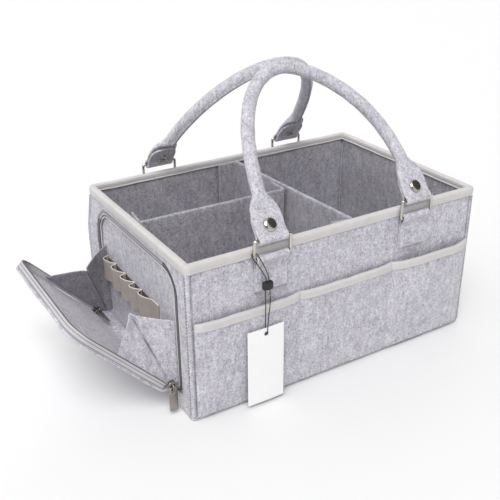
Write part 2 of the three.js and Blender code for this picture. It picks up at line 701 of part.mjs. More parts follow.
const crossY = halfWidth - flangeOut;
const crossBack = crossDivider.x - crossDivider.skew;
const crossFront = crossDivider.x + crossDivider.skew;
const crossShape = new THREE.Shape([
  [crossFront - divider.flange, -crossY], [crossFront + divider.felt, -crossY],
  [crossBack + divider.felt, crossY],
  [crossBack - divider.flange, crossY],
  [crossBack - divider.flange, crossY - divider.flangeFelt],
  [crossBack, crossY - divider.flangeFelt],
  [crossFront, divider.flangeFelt - crossY],
  [crossFront - divider.flange, divider.flangeFelt - crossY],
].map(([x, y]) => new THREE.Vector2(x, y)));
add('cross_divider', upright(crossShape, dividerBottom, divider.top), felt());
const hookIn = (divider.flange + divider.hookWidth) / 2;
const crossHook = block(
  crossBack - hookIn, crossY + seamGap, hookZ[0],
  crossBack - hookIn + divider.hookWidth, crossY + seamGap + divider.hook, hookZ[1]);
const crossHookFront = crossHook.clone()
  .translate(2 * crossDivider.skew, -2 * crossY - 2 * seamGap - divider.hook, 0);
add('cross_divider_hook_back', crossHook, hookTape());
add('cross_divider_hook_front', crossHookFront, hookTape());

const longLeft = flangeOut - halfLength;
const longTop = longDivider.y + divider.felt + longDivider.flange;
const crossAtLong = crossDivider.x - crossDivider.skew * longTop / crossY;
const longRight = crossAtLong - 2 * seamGap - divider.hook;
const longShape = new THREE.Shape([
  [longLeft, longDivider.y], [longRight, longDivider.y], [longRight, longTop],
  [longRight - divider.flangeFelt, longTop], [longRight - divider.flangeFelt, longDivider.y + divider.felt],
  [longLeft + divider.flangeFelt, longDivider.y + divider.felt], [longLeft + divider.flangeFelt, longTop],
  [longLeft, longTop],
].map(([x, y]) => new THREE.Vector2(x, y)));
add('long_divider', upright(longShape, dividerBottom, divider.top), felt());
const longHookY = longDivider.y + divider.felt + (longDivider.flange - divider.hookWidth) / 2;
const longHook = (x) => block(
  x, longHookY, hookZ[0], x + divider.hook, longHookY + divider.hookWidth, hookZ[1]);
add('long_divider_hook_left', longHook(longLeft - seamGap - divider.hook), hookTape());
add('long_divider_hook_right', longHook(longRight + seamGap), hookTape());

// Hang tag: a card on two thin cord loops that meet in a seal

const cardShape = roundedRect(tag.left, tag.bottom, tag.left + tag.width, tag.bottom + tag.height, 0);
const cardHole = new THREE.Path();
cardHole.absarc(tag.holeX, tag.bottom + tag.height - tag.holeDrop, tag.hole / 2, 0, 2 * Math.PI, true);
cardShape.holes.push(cardHole);
add('hang_tag', prismY(cardShape, tag.y - tag.thickness, tag.y, 6), card());

const sealShape = roundedRect(
  -seal.width / 2, -seal.height / 2, seal.width / 2, seal.height / 2, seal.edge * 2,
);
add('tag_seal', extrude(sealShape, seal.thickness - 2 * seal.edge, 3, seal.edge)
  .translate(0, 0, seal.edge - seal.thickness / 2).applyMatrix4(alongY)
  .translate(seal.x, seal.y, seal.z), blackPlastic());

function cordSolid(route) {
  const path = new THREE.CatmullRomCurve3(route.map((point) => new THREE.Vector3(...point)));
  return new THREE.ExtrudeGeometry(roundSection(tagCord.diameter / 2), {
    extrudePath: path, steps: tagCord.steps, curveSegments: tagCord.sides / 2, bevelEnabled: false,
  });
}
add('tag_cord_upper', cordSolid(upperCordRoute), blackPlastic());
add('tag_cord_lower', cordSolid(lowerCordRoute), blackPlastic());

export default parts;
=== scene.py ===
import math
import bpy
import numpy as np
from mathutils import Matrix, Vector


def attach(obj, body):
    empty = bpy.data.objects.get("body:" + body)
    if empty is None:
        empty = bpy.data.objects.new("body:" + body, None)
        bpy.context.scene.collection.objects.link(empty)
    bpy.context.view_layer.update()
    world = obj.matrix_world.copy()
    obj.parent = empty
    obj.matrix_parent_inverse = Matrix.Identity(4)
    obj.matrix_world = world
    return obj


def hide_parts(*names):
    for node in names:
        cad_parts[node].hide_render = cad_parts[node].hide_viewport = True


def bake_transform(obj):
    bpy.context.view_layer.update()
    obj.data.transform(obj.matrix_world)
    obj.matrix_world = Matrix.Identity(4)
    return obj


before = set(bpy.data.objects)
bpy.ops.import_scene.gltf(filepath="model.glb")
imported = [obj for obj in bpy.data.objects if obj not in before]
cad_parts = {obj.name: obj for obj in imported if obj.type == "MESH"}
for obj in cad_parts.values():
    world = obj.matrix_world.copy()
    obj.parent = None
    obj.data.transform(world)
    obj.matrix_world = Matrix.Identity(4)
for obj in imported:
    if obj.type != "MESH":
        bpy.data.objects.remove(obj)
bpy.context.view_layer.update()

# Sizes below are in millimetres; mm turns them into the frame's metres
mm = 0.001


# Camera at the photograph's place: it looks down a little from the front left
camera = dict(place=(-472.7, -710.9, 521.4), azimuth=-31.19, elevation=26.30, roll=-0.57, focalPixels=773.9)
sensorWidth = 36.0
imageWidth = 500


def addCamera():
    data = bpy.data.cameras.new("photoCamera")
    data.sensor_width = sensorWidth
    data.lens = camera["focalPixels"] / imageWidth * sensorWidth
    data.clip_start = 0.01
    view = bpy.data.objects.new("photoCamera", data)
    bpy.context.scene.collection.objects.link(view)
    turn = Matrix.Rotation(math.radians(camera["azimuth"]), 4, "Z")
    tilt = Matrix.Rotation(math.radians(90 - camera["elevation"]), 4, "X")
    roll = Matrix.Rotation(math.radians(camera["roll"]), 4, "Z")
    view.matrix_world = Matrix.Translation([value * mm for value in camera["place"]]) @ turn @ tilt @ roll
    bpy.context.scene.camera = view


addCamera()
print("camera placed")


# Mesh building from numpy arrays

# Points are rows of x, y, z in millimetres; faces are quads, or triangles with -1 as their last corner
def makeMesh(name, points, faces, smooth=True, uv=None):
    mesh = bpy.data.meshes.new(name)
    # Faces are turned outwards by the sign of the volume that they close
    corners = (np.asarray(points, float) - np.mean(points, axis=0))[faces]
    volume = np.sum(np.cross(corners[:, 0], corners[:, 1]) * corners[:, 2])
    if faces.shape[1] > 3:
        fourth = (faces[:, 3] >= 0)[:, None]
        volume += np.sum(np.cross(corners[:, 0], corners[:, 2]) * corners[:, 3] * fourth)
    if volume < 0 and smooth:
        faces = np.where(faces[:, 3:] >= 0, faces[:, ::-1],
                         np.concatenate([faces[:, 2::-1], faces[:, 3:]], axis=1))
    keep = faces >= 0
    counts = keep.sum(axis=1)
    loops = faces[keep]
    mesh.vertices.add(len(points))
    mesh.vertices.foreach_set("co", np.asarray(points, float).ravel() * mm)
    mesh.loops.add(len(loops))
    mesh.loops.foreach_set("vertex_index", loops.astype(np.int32))
    mesh.polygons.add(len(faces))
    starts = np.concatenate([[0], np.cumsum(counts)[:-1]])
    mesh.polygons.foreach_set("loop_start", starts.astype(np.int32))
    mesh.polygons.foreach_set("loop_total", counts.astype(np.int32))
    mesh.polygons.foreach_set("use_smooth", np.full(len(faces), smooth))
    if uv is not None:
        layer = mesh.uv_layers.new(name="cloth")
        layer.data.foreach_set("uv", np.asarray(uv, float)[loops].ravel() * mm)
    mesh.update(calc_edges=True)
    mesh.validate()
    piece = bpy.data.objects.new(name, mesh)
    bpy.context.scene.collection.objects.link(piece)
    return piece


# Vectors brought to length one
def unit(vectors):
    return vectors / np.maximum(np.linalg.norm(vectors, axis=-1, keepdims=True), 1e-12)


# How far along a broken line each of its points is
def distances(path):
    return np.concatenate([[0], np.cumsum(np.linalg.norm(np.diff(path, axis=0), axis=1))])


# Points of a line, or of its normals, at the given distances along it
def pointsAt(where, along, path):
    return np.stack([np.interp(where, along, column) for column in path.T], axis=-1)


# Height of a quarter circle of radius one at a share of the way in from its foot
def quarterRound(share):
    return np.sqrt(1 - (1 - np.clip(share, 0, 1)) ** 2)


# Smooth step from 0 to 1: 3 times the square less twice the cube
def smoothStep(share):
    share = np.clip(share, 0, 1)
    return share * share * (3 - 2 * share)


# A flat line, given as two rows of numbers, laid into the plane where the middle coordinate is nothing
def upright(first, second):
    return np.column_stack([first, 0 * first, second])


# A line that goes straight up through the heights z
def upLine(x, y, z):
    return np.column_stack([np.full(len(z), x), np.full(len(z), y), z])


# A flat line with nothing as its third coordinate
def flatLine(line):
    return np.column_stack([line, 0 * line[:, 0]])


# Quads of a grid of rows x columns points, numbered row by row
def gridFaces(rows, columns, wrapRows=False, wrapColumns=False):
    i = np.arange(rows if wrapRows else rows - 1)[:, None]
    j = np.arange(columns if wrapColumns else columns - 1)[None, :]
    i2, j2 = (i + 1) % rows, (j + 1) % columns
    corners = [i * columns + j, i2 * columns + j, i2 * columns + j2, i * columns + j2]
    return np.stack(np.broadcast_arrays(*corners), axis=-1).reshape(-1, 4)


# Places along a length, close together near both ends so that a rim of that width comes out round
def edgeLine(length, step, rim):
    near = rim * np.array([0, 0.06, 0.2, 0.45, 0.75, 1.0])
    count = max(int(round((length - 2 * rim) / step)), 1)
    middle = np.linspace(rim, length - rim, count + 1)[1:-1]
    return np.concatenate([near, middle, length - near[::-1]])


# Sum of slanted sine waves, about -1 to 1, with bumps about as wide as size
def softNoise(points, size, seed=0):
    rng = np.random.default_rng(seed)
    total = np.zeros(points.shape[:-1])
    for _ in range(7):
        direction = rng.normal(size=3)
        direction *= rng.uniform(0.7, 1.5) / np.linalg.norm(direction) * 2 * np.pi / size
        total += np.sin(points @ direction + rng.uniform(0, 2 * np.pi))
    return total / 3.5


# Unit normals of a grid of points: the cross product of its two gradients
def surfaceNormals(points):
    return unit(np.cross(np.gradient(points, axis=0), np.gradient(points, axis=1)))


# A closed sheet with round edges. place(u, v) is its middle surface; each side stands off along the
# normal by half the thickness, which falls to nothing at the rim as a quarter circle does
def feltSheet(name, place, uLine, vLine, thickness, wave=0.0, seed=0, rim=None, grow=None, waveSize=55.0):
    rim = rim or thickness / 2
    u, v = np.meshgrid(uLine, vLine, indexing="ij")
    middle = place(u, v)
    normal = surfaceNormals(middle)
    if wave:
        middle = middle + normal * (wave * softNoise(middle, waveSize, seed))[..., None]
    fromEdge = np.minimum(np.minimum(u - uLine[0], uLine[-1] - u), np.minimum(v - vLine[0], vLine[-1] - v))
    half = thickness / 2 * quarterRound(fromEdge / rim)
    if grow is not None:
        half = half * grow(u, v)
    front = middle + normal * half[..., None]
    back = middle - normal * half[..., None]
    rows, columns = u.shape
    edge = np.zeros((rows, columns), bool)
    edge[[0, -1], :] = True
    edge[:, [0, -1]] = True
    frontIndex = np.arange(rows * columns).reshape(rows, columns)
    backIndex = frontIndex.copy()
    backIndex[~edge] = rows * columns + np.arange((~edge).sum())
    faces = gridFaces(rows, columns)
    backFaces = backIndex.ravel()[faces][:, ::-1]
    points = np.concatenate([front.reshape(-1, 3), back[~edge]])
    uv = np.concatenate([np.stack([u, v], -1).reshape(-1, 2), np.stack([u[~edge], v[~edge]], -1)])
    return makeMesh(name, points, np.concatenate([faces, backFaces]), uv=uv)


# A tube through rings of points (rows along the path, columns round it); an open one gets round caps
def sweep(name, rings, closed=False, uv=None):
    rows, columns = rings.shape[:2]
    points = rings.reshape(-1, 3)
    faces = gridFaces(rows, columns, wrapRows=closed, wrapColumns=True)
    if not closed:
        ends = np.stack([rings[0].mean(axis=0), rings[-1].mean(axis=0)])
        first, last = len(points), len(points) + 1
        points = np.concatenate([points, ends])
        ring = np.arange(columns)
        following = (ring + 1) % columns
        none = np.full(columns, -1)
        startCap = np.stack([np.full(columns, first), ring, following, none], axis=1)
        endCap = np.stack([np.full(columns, last), following + (rows - 1) * columns,
                           ring + (rows - 1) * columns, none], axis=1)
        faces = np.concatenate([faces, startCap, endCap])
        if uv is not None:
            uv = np.concatenate([uv.reshape(-1, 2), uv[0].mean(axis=0)[None], uv[-1].mean(axis=0)[None]])
    return makeMesh(name, points, faces, uv=uv if uv is None else uv.reshape(-1, 2))


# Tangent, side and normal at each point of a path; the normal stays as near to up as it can
def pathFrames(path, closed=False, up=None):
    if closed:
        tangent = np.roll(path, -1, axis=0) - np.roll(path, 1, axis=0)
    else:
        tangent = np.gradient(path, axis=0)
    tangent = unit(tangent)
    up = np.broadcast_to(np.asarray(up, float), path.shape)
    side = np.cross(up, tangent)
    side = unit(side)
    return tangent, side, np.cross(tangent, side)


# Rings of points: the profile's first number goes along side, its second along normal
def carry(path, profile, side, normal):
    profile = np.broadcast_to(profile, (len(path),) + profile.shape[-2:])
    return (path[:, None] + profile[..., 0:1] * side[:, None] + profile[..., 1:2] * normal[:, None])


def circle(count, radius=1.0, start=0.0):
    angle = start + np.arange(count) / count * 2 * np.pi
    return radius * np.stack([np.cos(angle), np.sin(angle)], axis=1)


# Points at even distances along a broken line
def resample(path, spacing=None, count=None, closed=False):
    path = np.asarray(path, float)
    if closed:
        path = np.concatenate([path, path[:1]])
    along = distances(path)
    count = count or max(int(round(along[-1] / spacing)), 2)
    where = np.linspace(0, along[-1], count + (1 if closed else 0))
    if closed:
        where = where[:-1]
    return pointsAt(where, along, path)


# Beads of stitches and of zip teeth: where each of a bead's rings lies along it, and how full that ring is
stitchBead = dict(lengthShares=(-1, -0.8, -0.35, 0.35, 0.8, 1), bulgeShares=(0.25, 0.72, 1, 1, 0.72, 0.25),
                  flatness=0.8)
toothBead = dict(lengthShares=(-1, -0.86, -0.4, 0.4, 0.86, 1), bulgeShares=(0.3, 0.85, 1, 1, 0.85, 0.3))
beadSides = 6


# Six-sided beads of six rings, each at a spot with its own three directions and sunk by a share of its height
def beadRow(name, at, directions, sizes, bead, sink=0.0):
    ring = circle(beadSides)
    bulge = np.array(bead["bulgeShares"])[:, None]
    lengthwise, across, upwards = [d[:, None, None] * size / 2 for d, size in zip(directions, sizes)]
    points = at[:, None, None] + np.array(bead["lengthShares"])[:, None, None] * lengthwise
    sidewards, aloft = (bulge * ring[:, 0])[..., None], (bulge * (ring[:, 1] - sink))[..., None]
    points = points + sidewards * across + aloft * upwards
    rings = len(bead["bulgeShares"])
    first = np.array([[5, 4, 3, 2], [5, 2, 1, 0]])
    last = np.array([[0, 1, 2, 3], [0, 3, 4, 5]]) + (rings - 1) * beadSides
    one = np.concatenate([gridFaces(rings, beadSides, wrapColumns=True), first, last])
    faces = (one[None] + np.arange(len(at))[:, None, None] * rings * beadSides).reshape(-1, 4)
    return makeMesh(name, points.reshape(-1, 3), faces)


# Running stitches: flattened beads along the path, each part sunk in the cloth. Where a dictionary gives them
# as three numbers, they are the pitch, the stitch's length and the thread's width
def stitchRow(name, path, normal, pitch, length, width, sink=0.3):
    path = np.asarray(path, float)
    along = distances(path)
    count = max(int(along[-1] / pitch), 1)
    where = (np.arange(count) + 0.5) * along[-1] / count
    ahead, behind = pointsAt(where + length / 2, along, path), pointsAt(where - length / 2, along, path)
    tangent = unit(ahead - behind)
    normals = np.broadcast_to(np.asarray(normal, float), path.shape)
    side = unit(np.cross(pointsAt(where, along, normals), tangent))
    directions = (tangent, side, np.cross(tangent, side))
    flatness = stitchBead["flatness"]
    return beadRow(name, pointsAt(where, along, path), directions, (length, width, width * flatness),
                   stitchBead, sink / flatness)


# One object of several, with their materials kept
def joinPieces(name, pieces):
    for other in bpy.context.selected_objects:
        other.select_set(False)
    for piece in pieces:
        piece.select_set(True)
    bpy.context.view_layer.objects.active = pieces[0]
    bpy.ops.object.join()
    pieces[0].name = name
    return pieces[0]


# The back left corner stands out a little between its foot and its rim. The push grows as a smooth step along
# the walls towards the corner, and from the rim and the foot towards the middle of the height
corner = dict(push=(-5.0, 4.0), fromX=150.0, overX=38.0, fromY=78.0, overY=45.0, top=184.0, over=62.0)


def pushCorner(piece):
    points = np.empty(len(piece.data.vertices) * 3, np.float32)
    piece.data.vertices.foreach_get("co", points)
    points = points.reshape(-1, 3) / mm
    alongX = smoothStep((-points[:, 0] - corner["fromX"]) / corner["overX"])
    alongY = smoothStep((points[:, 1] - corner["fromY"]) / corner["overY"])
    z = points[:, 2]
    upwards = smoothStep((corner["top"] - z) / corner["over"]) * smoothStep(z / corner["over"])
    share = alongX * alongY * upwards
    if share.max() > 0:
        points[:, :2] += share[:, None] * np.array(corner["push"])
        piece.data.vertices.foreach_set("co", (points * mm).astype(np.float32).ravel())
        piece.data.update()


# Body, material and replaced solids of a finished piece; without a material it keeps its own. The slot
# argument is not used
def finishPiece(piece, body, material, slot, *nodes):
    if material is not None:
        piece.data.materials.clear()
        piece.data.materials.append(material)
    if body == "root":
        pushCorner(piece)
    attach(piece, body)
    if nodes:
        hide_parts(*nodes)
    return piece


# Stitches with the pitch, length and thread that a piece's dictionary gives
def sew(name, path, normal, look, body, material, slot="felt"):
    row = stitchRow(name, path, normal, look["pitch"], look["stitch"], look["thread"])
    return finishPiece(row, body, mat[material], slot)


# Centres or normals of a piece's faces
def faceValues(piece, kind):
    values = np.empty(len(piece.data.polygons) * 3)
    piece.data.polygons.foreach_get(kind, values)
    return values.reshape(-1, 3)


# Gives the faces that look along a direction a second material
def faceOtherWay(piece, direction, material):
    piece.data.materials.append(material)
    inside = faceValues(piece, "normal") @ np.array(direction, float) > 0.5
    piece.data.polygons.foreach_set("material_index", inside.astype(np.int32))


# Materials. Coordinates are Object ones, in metres

def newMaterial(name, color, roughness, metallic=0.0):
    material = bpy.data.materials.new(name)
    material.use_nodes = True
    shader = material.node_tree.nodes["Principled BSDF"]
    shader.inputs["Base Color"].default_value = (*color, 1)
    shader.inputs["Roughness"].default_value = roughness
    shader.inputs["Metallic"].default_value = metallic
    return material, shader


def node(material, kind, **inputs):
    made = material.node_tree.nodes.new(kind)
    for key, value in inputs.items():
        made.inputs[key.replace("_", " ")].default_value = value
    return made


def link(material, output, socket):
    material.node_tree.links.new(output, socket)


def objectPlace(material, scale=(1, 1, 1), turn=(0, 0, 0)):
    place = node(material, "ShaderNodeTexCoord")
    mapping = node(material, "ShaderNodeMapping", Scale=scale, Rotation=turn)
    link(material, place.outputs["Object"], mapping.inputs["Vector"])
    return mapping.outputs["Vector"]


def ramp(material, source, stops):
    made = node(material, "ShaderNodeValToRGB")
    elements = made.color_ramp.elements
    while len(elements) < len(stops):
        elements.new(0.5)
    for element, (position, color) in zip(elements, stops):
        element.position = position
        element.color = (*color, 1)
    link(material, source, made.inputs["Fac"])
    return made.outputs["Color"]


def noise(material, scale, detail=2.0, roughness=0.5, stretch=(1, 1, 1), turn=(0, 0, 0), distortion=0.0):
    made = node(material, "ShaderNodeTexNoise", Scale=scale, Detail=detail, Roughness=roughness,
                Distortion=distortion)
    link(material, objectPlace(material, stretch, turn), made.inputs["Vector"])
    return made.outputs["Fac"]


def mixColors(material, kind, factor, first, second):
    made = node(material, "ShaderNodeMix")
    made.data_type = "RGBA"
    made.blend_type = kind
    if isinstance(factor, float):
        made.inputs[0].default_value = factor
    else:
        link(material, factor, made.inputs[0])
    for source, socket in ((first, made.inputs[6]), (second, made.inputs[7])):
        if isinstance(source, tuple):
            socket.default_value = (*source, 1)
        else:
            link(material, source, socket)
    return made.outputs[2]


def arithmetic(material, operation, first, second):
    made = node(material, "ShaderNodeMath")
    made.operation = operation
    for source, socket in ((first, made.inputs[0]), (second, made.inputs[1])):
        if isinstance(source, (float, int)):
            socket.default_value = source
        else:
            link(material, source, socket)
    return made.outputs[0]


def bump(material, shader, height, strength, distance):
    made = node(material, "ShaderNodeBump", Strength=strength, Distance=distance)
    link(material, height, made.inputs["Height"])
    link(material, made.outputs["Normal"], shader.inputs["Normal"])


felt = dict(light=(0.68, 0.662, 0.712), dark=(0.37, 0.358, 0.41), pale=(0.88, 0.86, 0.90), roughness=0.96,
            mottle=430, fibre=900, hair=2600, strand=230, strandShade=0.44, strandWidth=0.019, gap=300,
            cloud=28, blotch=105, streak=230)


# Heathered felt: short fibres of three greys that cross in every direction, over a faint cloudiness
def feltMaterial(name, look, shade=1.0):
    light, dark, pale = [tuple(value * shade for value in look[key]) for key in ("light", "dark", "pale")]
    material, shader = newMaterial(name, light, look["roughness"])
    fibres = None
    for stretch, turn in (((0.28, 1, 1), (0.3, 0.2, 0.6)), ((1, 0.28, 1), (0.5, 0.9, -0.5)),
                          ((1, 1, 0.28), (0.7, -0.4, 0.2))):
        layer = noise(material, look["fibre"], 3.0, 0.6, stretch, turn)
        fibres = layer if fibres is None else arithmetic(material, "MAXIMUM", fibres, layer)
    mottle = noise(material, look["mottle"], 4.0, 0.65)
    speckle = ramp(material, mottle, [(0.34, dark), (0.52, light), (0.70, pale)])
    strands = ramp(material, fibres, [(0.50, dark), (0.60, light), (0.74, pale)])
    color = mixColors(material, "MIX", 0.5, speckle, strands)
    # Clouds, blotches and streaks, each a faint shade over the rest
    for scale, detail, fine, stretch, low, tint, high in (
            (look["cloud"], 2.0, 0.5, (1, 1, 1), 0.30, (0.93, 0.93, 0.93), 0.70),
            (look["blotch"], 3.0, 0.6, (1, 1, 1), 0.34, (0.84, 0.83, 0.86), 0.60),
            (look["streak"], 2.0, 0.5, (1, 1, 0.25), 0.36, (0.84, 0.84, 0.86), 0.56)):
        shade_ = ramp(material, noise(material, scale, detail, fine, stretch),
                      [(low, tint), (high, (1.0, 1.0, 1.0))])
        color = mixColors(material, "MULTIPLY", 1.0, color, shade_)
    # Long dark strands: thin level lines of two stretched noises, broken where a third one is low
    for stretch, turn, seed in (((1, 1, 0.34), (0.25, 0.15, 0.0), 0),
                                ((0.6, 0.6, 0.45), (0.9, -0.7, 0.5), 1)):
        strand = noise(material, look["strand"], 2.0, 0.45, stretch, turn, 0.7 + seed)
        shadow = (look["strandShade"],) * 3
        lines = ramp(material, strand, [(0.5 - look["strandWidth"], (1, 1, 1)), (0.5, shadow),
                                        (0.5 + look["strandWidth"], (1, 1, 1))])
        broken = ramp(material, noise(material, look["gap"], 1.0, 0.5, (1, 1, 1), turn),
                      [(0.48, (0, 0, 0)), (0.56, (1, 1, 1))])
        color = mixColors(material, "MULTIPLY", broken, color, lines)
    link(material, color, shader.inputs["Base Color"])
    shader.inputs["Sheen Weight"].default_value = 0.25
    shader.inputs["Sheen Roughness"].default_value = 0.6
    shader.inputs["Specular IOR Level"].default_value = 0.15
    hair = noise(material, look["hair"], 3.0, 0.7)
    height = arithmetic(material, "ADD", arithmetic(material, "MULTIPLY", fibres, 1.6), hair)
    bump(material, shader, height, 0.55, 0.0005)
    return material


# Woven cloth: two sets of fine ridges across each other, in the piece's own cloth coordinates
def weaveMaterial(name, color, dark, pitch, roughness, strength=0.5, twill=0.0):
    material, shader = newMaterial(name, color, roughness)
    place = node(material, "ShaderNodeUVMap")
    place.uv_map = "cloth"
    mapping = node(material, "ShaderNodeMapping", Scale=(1 / pitch, 1 / pitch, 1), Rotation=(0, 0, twill))
    link(material, place.outputs["UV"], mapping.inputs["Vector"])
    ridges = []
    for direction in ("X", "Y"):
        wave = node(material, "ShaderNodeTexWave", Scale=0.3142, Distortion=0.6, Detail=1.0, Detail_Scale=1.5)
        wave.bands_direction = direction
        link(material, mapping.outputs["Vector"], wave.inputs["Vector"])
        ridges.append(wave.outputs["Fac"])
    height = arithmetic(material, "MULTIPLY", ridges[0], ridges[1])
    cloud = noise(material, 90.0, 3.0, 0.6)
    mix = arithmetic(material, "ADD", arithmetic(material, "MULTIPLY", height, 0.75),
                     arithmetic(material, "MULTIPLY", cloud, 0.35))
    link(material, ramp(material, mix, [(0.12, dark), (0.62, color)]), shader.inputs["Base Color"])
    shader.inputs["Sheen Weight"].default_value = 0.15
    shader.inputs["Specular IOR Level"].default_value = 0.2
    bump(material, shader, height, strength, 0.0003)
    return material


# Plated metal: smooth, with very faint streaks and a trace of wear in its roughness
def metalMaterial(name, color, roughness, streak=0.06):
    material, shader = newMaterial(name, color, roughness, 1.0)
    streaks = noise(material, 420.0, 3.0, 0.6, (0.2, 0.2, 1.0))
    wear = noise(material, 60.0, 2.0, 0.5)
    lighter = tuple(min(value * 1.12, 1) for value in color)
    darker = tuple(value * 0.86 for value in color)
    link(material, ramp(material, wear, [(0.35, darker), (0.65, lighter)]), shader.inputs["Base Color"])
    spread = arithmetic(material, "ADD", arithmetic(material, "MULTIPLY", streaks, streak * 2),
                        roughness - streak)
    link(material, spread, shader.inputs["Roughness"])
    bump(material, shader, streaks, 0.04, 0.0001)
    return material


# Plain material with a little unevenness: card, moulded plastic, waxed cord and sewing thread
def plainMaterial(name, color, roughness, grain, strength, spread=0.08):
    material, shader = newMaterial(name, color, roughness)
    speckle = noise(material, grain, 3.0, 0.6)
    darker = tuple(value * (1 - spread) for value in color)
    lighter = tuple(min(value * (1 + spread), 0.97) for value in color)
    link(material, ramp(material, speckle, [(0.35, darker), (0.65, lighter)]), shader.inputs["Base Color"])
    bump(material, shader, speckle, strength, 0.0002)
    return material


mat = dict(
    felt=feltMaterial("greyFelt", felt),
    # A darker copy of the same felt: painted shade for the faces inside the box
    inner=feltMaterial("shadedInnerFelt", felt, 0.74),
    # A still darker copy of the felt: painted shade deep in the gussets' folds
    deep=feltMaterial("shadedDeepFelt", felt, 0.52),
    binding=weaveMaterial("bindingCloth", (0.72, 0.695, 0.69), (0.50, 0.48, 0.478), 0.0011, 0.85, 0.6, 0.6),
    tape=weaveMaterial("zipTapeCloth", (0.085, 0.085, 0.095), (0.035, 0.035, 0.042), 0.0009, 0.8, 0.5),
    coil=plainMaterial("zipCoil", (0.15, 0.145, 0.165), 0.42, 1800.0, 0.1),
    flapTape=weaveMaterial("flapTapeCloth", (0.60, 0.58, 0.60), (0.44, 0.425, 0.445), 0.0010, 0.85, 0.6),
    elastic=weaveMaterial("elasticWeave", (0.49, 0.43, 0.395), (0.32, 0.28, 0.26), 0.0012, 0.75, 0.7),
    elasticEdge=weaveMaterial("elasticEdge", (0.76, 0.71, 0.66), (0.56, 0.52, 0.49), 0.0009, 0.75, 0.5),
    shadedElasticInside=weaveMaterial("shadedElasticInside", (0.1, 0.085, 0.078), (0.06, 0.052, 0.048), 0.0012, 0.8, 0.5),
    hook=plainMaterial("hookTape", (0.42, 0.41, 0.44), 0.7, 1500.0, 0.6),
    cotton=plainMaterial("cottonCore", (0.55, 0.52, 0.47), 0.95, 1400.0, 0.7),
    nickel=metalMaterial("nickelWire", (0.56, 0.53, 0.49), 0.14),
    dome=metalMaterial("rivetMetal", (0.46, 0.44, 0.40), 0.1, 0.03),
    zipMetal=metalMaterial("zipMetal", (0.33, 0.295, 0.275), 0.26),
    card=plainMaterial("whiteCard", (0.86, 0.86, 0.86), 0.6, 900.0, 0.12, 0.02),
    plastic=plainMaterial("blackPlastic", (0.012, 0.012, 0.014), 0.4, 500.0, 0.15),
    cord=plainMaterial("blackCord", (0.015, 0.015, 0.017), 0.7, 3000.0, 0.6),
    thread=plainMaterial("paleThread", (0.60, 0.585, 0.60), 0.8, 3500.0, 0.6),
    darkThread=plainMaterial("greyThread", (0.34, 0.33, 0.35), 0.8, 3500.0, 0.6),
    shadowThread=plainMaterial("shadowThread", (0.13, 0.125, 0.14), 0.8, 3500.0, 0.6),
)
print("materials made")


# General outlines

# Corners of a polygon rounded by quadratic arcs that start the given distance before and after each corner
def roundedPolygon(corners, radii, steps=5, closed=True):
    corners = np.asarray(corners, float)
    radii = np.broadcast_to(np.asarray(radii, float), (len(corners),))
    start = corners + unit(np.roll(corners, 1, axis=0) - corners) * radii[:, None]
    end = corners + unit(np.roll(corners, -1, axis=0) - corners) * radii[:, None]
    t = np.linspace(0, 1, steps + 1)[None, :, None]
    arcs = start[:, None] * (1 - t) ** 2 + corners[:, None] * 2 * t * (1 - t) + end[:, None] * t ** 2
    if not closed:
        return np.concatenate([corners[:1], arcs[1:-1].reshape(-1, corners.shape[1]), corners[-1:]])
    return arcs.reshape(-1, corners.shape[1])


# Rounded rectangle with the same count of points for every size, so that rings of it match up
def rectLoop(halfX, halfY, radius, perSide=40, perCorner=6):
    radius = max(radius, 0.3)
    a = np.linspace(0, np.pi / 2, perCorner + 1)
    arc = np.stack([np.cos(a), np.sin(a)], axis=1)
    turnsOf = [np.array([[c, -s], [s, c]]) for c, s in ((1, 0), (0, 1), (-1, 0), (0, -1))]
    centres = np.array([[1, 1], [-1, 1], [-1, -1], [1, -1]]) * [halfX - radius, halfY - radius]
    corners = [centre + radius * arc @ turnOf.T for centre, turnOf in zip(centres, turnsOf)]
    points = []
    for index, corner in enumerate(corners):
        following = corners[(index + 1) % 4]
        share = np.arange(1, perSide)[:, None] / perSide
        points += [corner, corner[-1] * (1 - share) + following[0] * share]
    return np.concatenate(points)


# Rings piled up along Z: each row of profile is how far the outline is inset, and its height. place turns the
# rings' points into the piece's own
def pile(name, outline, profile, place=lambda rings: rings):
    rings = [np.column_stack([outline(inset), np.full(len(outline(0)), height)]) for inset, height in profile]
    return sweep(name, place(np.stack(rings)))


# Profile of a flat slab from bottom to top whose edges are quarter circles
def slabProfile(bottom, top, radius, steps=4):
    a = np.linspace(0, np.pi / 2, steps + 1)
    rise = np.stack([radius * (1 - np.sin(a)), bottom + radius * (1 - np.cos(a))], axis=1)
    fall = np.stack([radius * (1 - np.cos(a)), top - radius * (1 - np.sin(a))], axis=1)
    return np.concatenate([rise, fall])


# The back side is the front one turned half round
def onSide(side):
    return lambda points: points * np.array([-1.0, -1.0, 1.0]) if side == "back" else points


# Smooth line through the given points: in each stretch a cubic whose slope at a point is half the step
# between the points beside it
def smoothLine(points, count, closed=False):
    points = np.asarray(points, float)
    if closed:
        padded = np.concatenate([points[-1:], points, points[:2]])
        t = np.arange(count) / count * len(points)
    else:
        padded = np.concatenate([2 * points[:1] - points[1:2], points, 2 * points[-1:] - points[-2:-1]])
        t = np.linspace(0, len(points) - 1 - 1e-9, count)
    i = np.floor(t).astype(int)
    f = (t - i)[:, None]
    p0, p1, p2, p3 = [padded[i + k] for k in range(4)]
    square = 2 * p0 - 5 * p1 + 4 * p2 - p3
    cube = 3 * p1 - p0 - 3 * p2 + p3
    return p1 + 0.5 * ((p2 - p0) * f + square * f ** 2 + cube * f ** 3)


